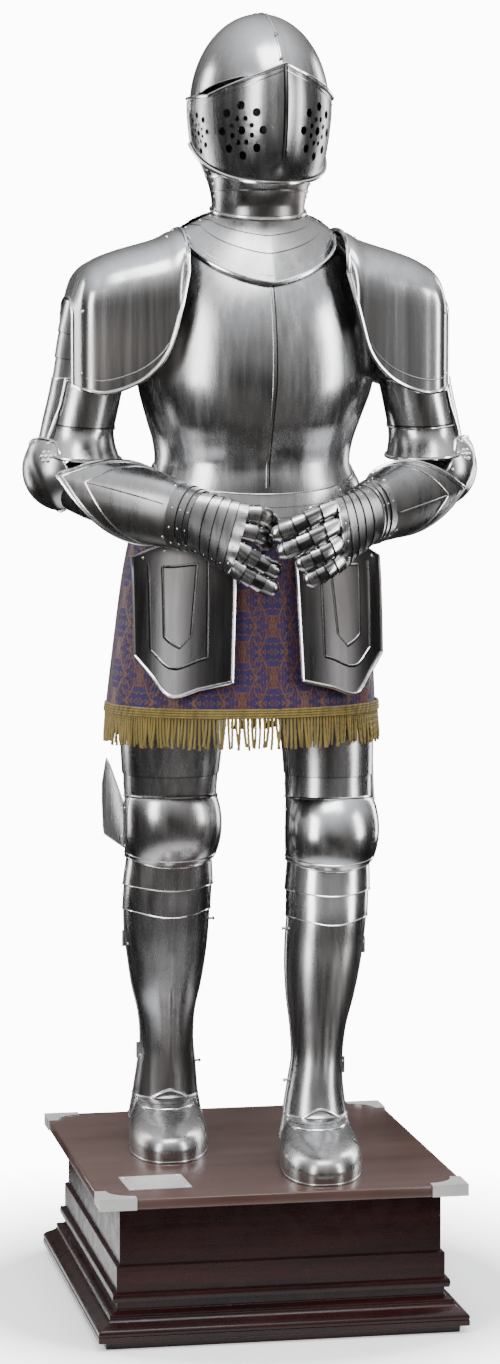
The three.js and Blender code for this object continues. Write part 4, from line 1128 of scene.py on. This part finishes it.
for label, side in (("right", -1), ("left", 1)):
    def lame_skin(angle, v, out, side=side):
        high = ARM_AT["top"] - 26 * cosine(angle) ** 2
        return upper_arm(side, angle, mix(ARM_AT["sleeve"] + 0.5, high, v), out)

    lames = Piece()
    lames.lames(lame_skin, steps(50, 20, 160), [0, 0.33, 0.66, 1], lift=2.0, lap=0.05)
    lames.rivets(lame_skin, (26, 154), (0.12, 0.45, 0.78), 2.6, 2.6)
    lames.edge(lame_skin, steps(40, 20, 160), 0.01, 1.2, 2.2)
    lames.make(f"upper_arm_lames_{label}_plates", plate_steel, [f"upper_arm_lames_{label}"])

    skin = tube_skin(side)
    sleeve = Piece()
    ring = steps(90, 0, 360)[:-1]
    sleeve.plate(skin, ring, [0, 0.05, 0.1, *steps(24, 0.15, 1)], ring=True)
    sleeve.edge(skin, steps(60, -128, 68), 0, 0.4, 3.0)
    sleeve.edge(skin, steps(60, -126, 66), 0.37, 0.5, 1.6, 6, worn=0.9)
    # The dark line just above the raised line is painted shadow.
    sleeve.edge(skin, steps(60, -126, 66), 0.40, -0.2, 1.3, 6, worn=-1)
    low, high = ARM_AT["guard_low"], ARM_AT["guard_high"]
    sleeve.plate(lambda a, v, out: upper_arm(side, a, mix(low, high, v), out + 2.8),
                 steps(30, 46, 150), steps(10))
    sleeve.tube([upper_arm(side, a, z, 3.0) for a, z in walk([(58, low), (46, 1420), (46, high)], 4)], 2.0)
    sleeve.edge(skin, ring, 0.985, 0.4, 2.0, closed=True)
    sleeve.rivets(skin, (-60, 20), 0.9, 2.8, 1.6)
    sleeve.make(f"rerebrace_plate_{label}", bright_steel, [f"rerebrace_{label}"])

    skin = bowl_skin(side)
    bowl = Piece()
    bowl.plate(skin, ring, steps(26), ring=True)
    bowl.edge(skin, ring, 0.01, 0.6, 2.4, closed=True)
    bowl.rivets(skin, (-64, -44, -22, 2, 26, 48, 90, 130, 170, 210, 250), 0.075, 3.1, 2.2)
    bowl.rivets(skin, -27, 0.2, 4.2, 3.0)
    bowl.rivets(skin, (-34, -20), 0.2, 3.4, 3.0)
    bowl.rivets(skin, (-30.5, -23.5), (0.145, 0.255), 3.4, 3.0)
    bowl.make(f"couter_plate_{label}", plate_steel, [f"couter_{label}"])


# A plain tube guards each forearm from the elbow's bowl to the wrist. The gauntlet's cuff goes over
# it: three lames at the wrist, and a wide bell drawn up to a point, with raised lines along its edge.
FOREARM = {"long": 262, "right": Vector((301.4, 62, 1300)), "left": Vector((300, 62, 1300))}
CUFF = table("t up deep", [
    (20, 60, 62), (70, 61, 58), (120, 61, 52), (170, 58, 45), (215, 53, 38), (262, 47, 33)])
CUFF_TIP = {"right": 20, "left": -6}
VAMBRACE = table("t up deep", [(12, 38, 46.5), (60, 45, 47), (130, 47, 42), (190, 46, 38), (235, 48.1, 33.9)])
WRISTS = {
    "right": {"side": -1, "wrist": Vector((-97, -127, 1246)), "knuckle": Vector((-42, -150, 1220)),
              "lean": Vector((0.28, 0, 0.96))},
    "left": {"side": 1, "wrist": Vector((162, -127, 1254)), "knuckle": Vector((115, -165, 1228)),
             "lean": Vector((-0.14, 0, 0.99))},
}


def forearm(label):
    """The frame of one forearm: a point t along it, out by rise and deep at an angle round it."""
    wrist, side = WRISTS[label]["wrist"], WRISTS[label]["side"]
    elbow = mirrored(FOREARM[label], side)
    ahead = (wrist - elbow).normalized()
    facing = Vector((0, 0, 1)).cross(ahead).normalized()
    facing = facing if facing.y < 0 else -facing
    up = ahead.cross(facing).normalized()
    up = up if up.z > 0 else -up

    def section(t, rise, deep, angle):
        middle = elbow + (wrist - elbow) * (t / FOREARM["long"])
        return middle + facing * deep * cosine(angle) + up * rise * sine(angle)
    return section


def sleeved(section, rows, t, angle, out):
    """A point on one of the tubes round a forearm."""
    row = at(rows, t, "t")
    return section(t, row["up"] + out, row["deep"] + out, angle)


def cuff_start(angle, tip):
    """How far up the forearm the bell's edge reaches: it is drawn up to a point."""
    off = abs((angle - tip + 180) % 360 - 180)
    return mix(178, 26, max(0, 1 - off / 125) ** 1.1)


for label in ("right", "left"):
    section, tip = forearm(label), CUFF_TIP[label]

    def bell(angle, v, out, section=section, tip=tip):
        crease = 2.4 * bump(angle, tip, 15) * v
        return sleeved(section, CUFF, mix(224, cuff_start(angle, tip), v), angle, out + crease)

    def wrist_skin(angle, v, out, section=section):
        return sleeved(section, CUFF, mix(262, 220, v), angle, out)

    def inner_tube(angle, t, out, section=section):
        return sleeved(section, VAMBRACE, t, angle, out)

    cuff = Piece()
    ring = steps(96, -180, 180)[:-1]
    cuff.plate(bell, ring, steps(34), ring=True)
    cuff.edge(bell, ring, 1, 0.4, 3.0, closed=True)
    for v, reach in ((0.95, 118), (0.74, 104)):
        cuff.edge(bell, steps(70, tip - reach, tip + reach), v, 0.0, 1.5, 6, worn=0.8)
    cuff.edge(bell, tip, steps(20, 0.05, 0.72), -0.2, 1.3, 6, worn=0.7)
    cuff.lames(wrist_skin, ring, [0, 0.3, 0.62, 1], lift=2.2, lap=0.08, count=4, ring=True, shadow=0.1)
    cuff.rivets(wrist_skin, range(-118, 121, 34), (0.1, 0.42, 0.76), 1.9, 2.4)
    cuff.rivets(bell, (-40, 64), 0.06, 2.8, 1.6)
    cuff.make(f"gauntlet_cuff_plate_{label}", plate_steel, [f"gauntlet_cuff_{label}"])

    tube = Piece()
    tube.plate(inner_tube, ring, steps(36, 235, 12), ring=True)
    tube.edge(inner_tube, ring, 12, 0.2, 1.8, closed=True)
    tube.make(f"vambrace_plate_{label}", plate_steel, [f"vambrace_{label}"])


# The back of each hand is five lames riveted to a glove, the last of them bossed over the knuckles.
# It is open at the palm, and each finger is a row of small scales riveted to a strip of leather.
FINGERS = {
    "right_1": {"rise": 41, "bends": [(-4, -150, 1255), (10, -134, 1245), (16, -115, 1238)]},
    "right_2": {"rise": 13.7, "bends": [(-12, -152, 1226), (3, -136, 1213), (9, -117, 1206)]},
    "right_3": {"rise": -13.7, "bends": [(-24, -158, 1192), (0, -155, 1178), (22, -144, 1168)]},
    "right_4": {"rise": -41, "bends": [(-30, -155, 1164), (-6, -153, 1151), (18, -143, 1141)]},
    "left_1": {"rise": 41, "bends": [(70, -178, 1254), (38, -180, 1239), (8, -172, 1226)]},
    "left_2": {"rise": 13.7, "bends": [(76, -182, 1226), (44, -183, 1211), (16, -172, 1199)]},
    "left_3": {"rise": -13.7, "bends": [(90, -182, 1201), (68, -181, 1190), (46, -172, 1180)]},
    "left_4": {"rise": -41, "bends": [(96, -176, 1175), (78, -176, 1164), (60, -168, 1154)]},
}
FORWARD = Vector((0, -1, 0))
KNUCKLES = (-49, -15, 15, 49)


def hand_skin(label):
    """The back of one hand, from v 0 at the knuckles to 1 at the wrist."""
    section = forearm(label)
    knuckle, lean = WRISTS[label]["knuckle"], WRISTS[label]["lean"]

    def point(angle, v, out):
        boss = sum(max(0, 1 - ((angle - a) / 14) ** 2) for a in KNUCKLES) * 2.8 * clamp(1 - v / 0.2)
        start = section(FOREARM["long"] + 0.5, 47 + out, 33 + out, angle)
        end = knuckle + FORWARD * (17 + out + boss) * cosine(angle) + lean * (54 + out) * sine(angle)
        return end.lerp(start, v)
    return point


def smooth_path(path, s):
    """A point along a path with its corners eased."""
    k = min(int(s * (len(path) - 1)), len(path) - 2)
    t = s * (len(path) - 1) - k
    p0, p1, p2, p3 = (path[min(max(k + d, 0), len(path) - 1)] for d in (-1, 0, 1, 2))
    square, cube = 2 * p0 - 5 * p1 + 4 * p2 - p3, 3 * p1 - p0 - 3 * p2 + p3
    return 0.5 * (2 * p1 + (p2 - p0) * t + square * t ** 2 + cube * t ** 3)


def finger_skin(label, row):
    """The scales of one finger, from v 0 at the tip to 1 at the knuckle."""
    knuckle, lean, side = (WRISTS[label][name] for name in ("knuckle", "lean", "side"))
    edge = math.cos(math.asin(row["rise"] / 54)) * 17
    normal = Vector((0, -side, 0)).cross(lean).normalized()
    root = knuckle + lean * row["rise"] + FORWARD * (edge - 9.5) + normal * 0.5
    path = [root, *(Vector(p) for p in row["bends"])]

    def point(angle, v, out):
        s = clamp(1 - v + 0.02 * (cosine(angle) - 0.4))
        ahead = (smooth_path(path, min(1, s + 0.02)) - smooth_path(path, max(0, s - 0.02))).normalized()
        free = ahead.cross(FORWARD).normalized()
        free = free if free.z > 0 else -free
        up = lean.lerp(free, clamp(s * 3)).normalized()
        facing = ahead.cross(up).normalized()
        facing = facing if facing.y < 0 else -facing
        tip = 1 - 0.45 * clamp((s - 0.84) / 0.16) ** 2
        rise, deep = mix(13.3, 12.4, s) * tip + out, mix(9.5, 9, s) * tip + out
        return smooth_path(path, s) + facing * deep * cosine(angle) + up * rise * sine(angle)
    return point


for label in ("right", "left"):
    skin = hand_skin(label)
    hand = Piece()
    hand.lames(skin, steps(60, -96, 96), [0, 0.24, 0.42, 0.6, 0.8, 1], lift=2.6, lap=0.04, shadow=0.12)
    hand.edge(skin, steps(60, -96, 96), 0.01, 0.8, 1.6, 6, worn=0.8)
    hand.rivets(skin, (-86, -58, 58, 86), (0.27, 0.47, 0.67, 0.87), 1.9, 2.2)
    hand.rivets(skin, KNUCKLES, 0.1, 2.3, 2.6)
    hand.make(f"gauntlet_hand_plate_{label}", plate_steel, [f"gauntlet_hand_{label}"])

for name, row in FINGERS.items():
    skin = finger_skin(name.split("_")[0], row)
    finger = Piece()
    cuts = [0, 0.21, 0.4, 0.6, 0.8, 1]
    across = steps(26, -105, 105)
    finger.lames(skin, across, cuts, lift=3.0, lap=0.035, count=6, thick=1.0, shadow=0.17)
    # The scales' sides, between the fingers, are painted in shade.
    for first in range(0, len(finger.points) - len(across), len(across)):
        for column in (0, 1, 2, -3, -2, -1):
            finger.worn[first + column % len(across)] = -0.85
    finger.rivets(skin, 62, [v + 0.09 for v in cuts[:-1]], 1.4, 3.0)
    finger.make(f"finger_scales_{name}", bright_steel, [f"finger_{name}"])


# Each greave is a front and a back shell round the shin, hinged down the outside on two barrels
# and closed inside by two hooks. It is arched over the foot and faintly keeled down the shin.
LEGS = {
    "right": {"side": -1, "rows": table("z x y half front back", [
        (243, -110, 150, 59, 60, 62), (274, -110, 147, 56, 57, 60), (310, -110, 144, 52, 52, 57),
        (350, -109, 140, 47.5, 48, 53), (388, -109, 136, 43.5, 45, 51), (435, -110, 132, 46, 48, 58),
        (481, -111, 127, 56, 54, 68), (525, -111, 123, 63, 58, 75), (568, -112, 118, 68, 60, 77),
        (611, -112, 114, 70, 62, 74), (650, -111, 107, 70.5, 62, 70), (692, -110, 101, 68, 62, 66),
        (750, -108, 95, 66, 64, 64), (800, -110, 88, 71, 68, 70), (872, -110, 78, 78, 76, 80),
        (985, -109, 63, 85, 84, 88), (1030, -114, 60, 90, 88, 92)])},
    "left": {"side": 1, "rows": table("z x y half front back", [
        (243, 100, -62, 58, 60, 62), (274, 100, -58, 54, 57, 60), (310, 99, -52, 49.5, 52, 57),
        (350, 101, -46, 44, 48, 53), (388, 105, -40, 41, 45, 51), (435, 108, -33, 45, 48, 58),
        (481, 113, -25, 54, 54, 68), (525, 118, -18, 60, 58, 75), (568, 123, -11, 63, 60, 77),
        (611, 128, -5, 64, 62, 74), (650, 131, 4, 65.5, 62, 70), (692, 134, 12, 65, 62, 66),
        (750, 137, 20, 63, 64, 64), (800, 138, 30, 66, 68, 70), (872, 139, 42, 70, 76, 80),
        (985, 133, 54, 79, 84, 88), (1030, 129.6, 56, 83, 81, 88)])},
}
ANKLE = 300
GREAVE = {"arch": 51, "hinges": (372, 560), "hooks": (352, 590)}
KNEE = {"low": 612, "middle": 652, "cap": 693, "top": 798, "thigh": 1030, "swell": 25, "dip": 13}


def leg_skin(label):
    rows = LEGS[label]["rows"]

    def point(angle, z, out):
        keel = 1.8 * bump(angle, 0, 10) * clamp((z - 330) / 60) * clamp((600 - z) / 60)
        return around({**at(rows, z), "power": 2.1}, angle, out + keel)
    return point


for label in ("right", "left"):
    skin, side = leg_skin(label), LEGS[label]["side"]

    def shell(angle, v, out, skin=skin):
        arch = clamp((1 - cosine(angle)) / 0.8) ** 0.8
        z = mix(ANKLE + 13 - GREAVE["arch"] * arch, KNEE["low"] - 0.5, v)
        return skin(angle, z, out + 3 * clamp((ANKLE - z) / 38))

    for part, turn in (("front", 0), ("back", 180)):
        greave = Piece()
        angles = [angle + turn for angle in steps(60, -88, 88)]
        greave.plate(shell, angles, steps(64))
        greave.edge(shell, angles, 0, 0.6, 2.2)
        for a in (angles[0], angles[-1]):
            greave.edge(shell, a, steps(30), 0.1, 1.0, 6, worn=0.6)
        if part == "front":
            for z in GREAVE["hinges"]:
                hinge = skin(90 * side, z, 2.6)
                greave.tube([hinge + Vector((0, 0, d)) for d in (-13, 13)], 2.8, worn=0.3)
                for d in (-12, 12):
                    greave.rivets(skin, 90 * side - d, z + d * 0.6, 2.2, 1.8)
            for z in GREAVE["hooks"]:
                away = (skin(-90 * side, z, 1) - skin(-90 * side, z, 0)).normalized()
                hook = skin(-84 * side, z, 0)
                greave.tube([hook, hook + away * 5, hook + away * 8 + Vector((0, 2, 1))], 2.0, worn=0.3)
                greave.rivet(hook + away * 7, away, 3.4, 3, 0.3)
        greave.make(f"greave_{part}_plate_{label}", plate_steel, [f"greave_{part}_{label}"])


# The poleyn is a domed cap over the knee with two lames under it, all turning on rivets in life.
# A flat wing riveted to its outer side reaches back behind the knee.
WING = {"long": 102, "splay": 11, "low": [(0, 712), (92, 722), (100, 735), (102, 770)],
        "high": [(0, 784), (10, 790), (66, 838), (82, 847), (102, 803)]}


def along_line(line, value):
    for (a, p), (b, q) in zip(line, line[1:]):
        if value <= b:
            return mix(p, q, (value - a) / (b - a))
    return line[-1][1]


for label in ("right", "left"):
    skin, side = leg_skin(label), LEGS[label]["side"]

    def lower(angle, v, out, skin=skin):
        low = KNEE["low"] - 3 - 9 * max(0, cosine(angle)) ** 5
        return skin(angle, mix(low, KNEE["middle"] + 4, v), out + mix(1.6, 0.5, v))

    def upper(angle, v, out, skin=skin):
        low = KNEE["middle"] - 2 - 5 * max(0, cosine(angle)) ** 5
        return skin(angle, mix(low, KNEE["cap"] + 6, v), out + mix(2.8, 1.3, v))

    def dome(angle, v, out, skin=skin):
        swell = KNEE["swell"] * sine(180 * v) ** 0.7 * (0.06 + 0.94 * max(0, cosine(angle * 0.94)) ** 0.8)
        low = KNEE["cap"] + 3 - KNEE["dip"] * max(0, cosine(angle)) ** 2
        return skin(angle, mix(low, KNEE["top"] + 4 * cosine(angle), v), out + mix(4.0, 3.2, v) + swell)

    knee = Piece()
    angles = steps(64, -100, 100)
    for sheet, count in ((lower, 8), (upper, 8), (dome, 34)):
        knee.plate(sheet, angles, steps(count))
        knee.edge(sheet, angles, 0.01, -0.2, 1.2, 6, worn=0.8)
        knee.rivets(sheet, (-92, 92), 0.5, 2.8, 2)
    knee.edge(dome, angles, 0.985, 0.2, 1.8, 6)
    knee.tube([dome(a, 0.075 + 0.03 * cosine(a), 0.4) for a in angles], 1.0, 6, worn=0.5)
    # The dark lines down the dome's sides are painted shade.
    for a in (-66, 66):
        knee.edge(dome, a, steps(24, 0.05, 0.96), -0.3, 1.1, 6, worn=-0.8)
    knee.rivets(dome, (-78, 78), (0.2, 0.8), 2.4, 1.6)
    knee.make(f"poleyn_plate_{label}", bright_steel, [f"poleyn_{label}"])

    root = skin(90 * side, 750, 8.9)

    def wing_skin(u, v, out, root=root, side=side):
        reach = WING["long"] * u
        z = mix(along_line(WING["low"], reach), along_line(WING["high"], reach), v)
        dish = 3.0 * sine(180 * u) * sine(180 * v)
        splay = reach * math.tan(math.radians(WING["splay"]))
        return Vector((root.x + side * (2.0 + out + dish + splay), root.y + reach, z))

    wing = Piece()
    wing.plate(wing_skin, steps(40), steps(28))
    border = walk([(0, 0), (1, 0), (1, 1), (0, 1), (0, 0)], 0.025)
    wing.tube([wing_skin(u, v, -0.7) for u, v in border], 1.5, 6, worn=0.9)
    for u, v in ((0.08, 0.2), (0.08, 0.8), (0.2, 0.5)):
        wing.rivets(wing_skin, u, v, 3.2, 2)
    wing.make(f"poleyn_wing_plate_{label}", plate_steel, [f"poleyn_wing_{label}"])


# The cuisse wraps the front and sides of the thigh and is open behind. Its lowest lame slides under
# the poleyn, and its top edge is turned over a wire.
for label in ("right", "left"):
    skin = leg_skin(label)

    def thigh(angle, v, out, skin=skin):
        return skin(angle, mix(KNEE["top"] - 2, KNEE["thigh"], v), out + 1.6)

    cuisse = Piece()
    angles = steps(72, -118, 118)
    cuisse.lames(thigh, angles, [0, 0.18, 1], lift=2.0, lap=0.02, count=24)
    cuisse.edge(thigh, angles, 0.985, -1.7, 1.9)
    for a in (-118, 118):
        cuisse.edge(thigh, a, steps(20), 0.3, 1.8)
    cuisse.rivets(thigh, (-104, 104), (0.08, 0.24), 2.6, 2.6)
    cuisse.make(f"cuisse_plate_{label}", plate_steel, [f"cuisse_{label}"])


# The sabaton is a broad round-toed shoe: a deep toe cap, then lames over the instep up under the
# greave, riveted at their sides. It has no sole, and stands on the board by its edge.
SHOE = table("v z half front back", [
    (0, 0.3, 69, 236, 84), (1, 22, 71, 238, 84), (2, 40, 68, 226, 80), (3, 52, 63, 190, 74),
    (4, 59, 59, 130, 68), (5, 66.5, 57, 84, 63)])

for label in ("right", "left"):
    base = at(LEGS[label]["rows"], ANKLE)

    def shoe(angle, v, out, base=base, ankle=leg_skin(label)):
        row = {**base, **at(SHOE, min(v, 5), "v"), "power": mix(2.7, 2.1, min(1, v / 5))}
        row["z"] += BOARD["top"]
        p = around(row, angle, out)
        ahead = base["y"] - p.y
        if ahead < 0:
            p.y = base["y"] - ahead * 0.78
        p.x = base["x"] + (p.x - base["x"]) * mix(0.8, 1, clamp((ahead - 20) / 130) ** 0.8) - ahead * 0.12
        if v > 5:
            p = p.lerp(around({**base, "z": ANKLE - 0.5, "power": 2.1}, angle, out), min(1, v - 5))
        return ankle(angle, ANKLE + 50 * (v - 6), out - 2.6) if v > 6.02 else p

    sabaton = Piece()
    ring = steps(120, -180, 180)[:-1]
    sabaton.plate(shoe, ring, steps(44, 0, 4.45), ring=True)
    sabaton.lames(shoe, ring, [4.3, 4.9, 5.4, 5.95, 6.3], lift=2.2, lap=0.08, count=5, ring=True, shadow=0.09)
    sabaton.edge(shoe, ring, 0.1, -0.4, 1.5, closed=True, worn=0.2)
    sabaton.edge(shoe, steps(60, -90, 90), 4.32, 1.8, 1.4, 6)
    sabaton.rivets(shoe, (-72, 72), (4.6, 5.1, 5.7), 2.6, 2.8)
    sabaton.make(f"sabaton_plate_{label}", plate_steel, [f"sabaton_{label}"])
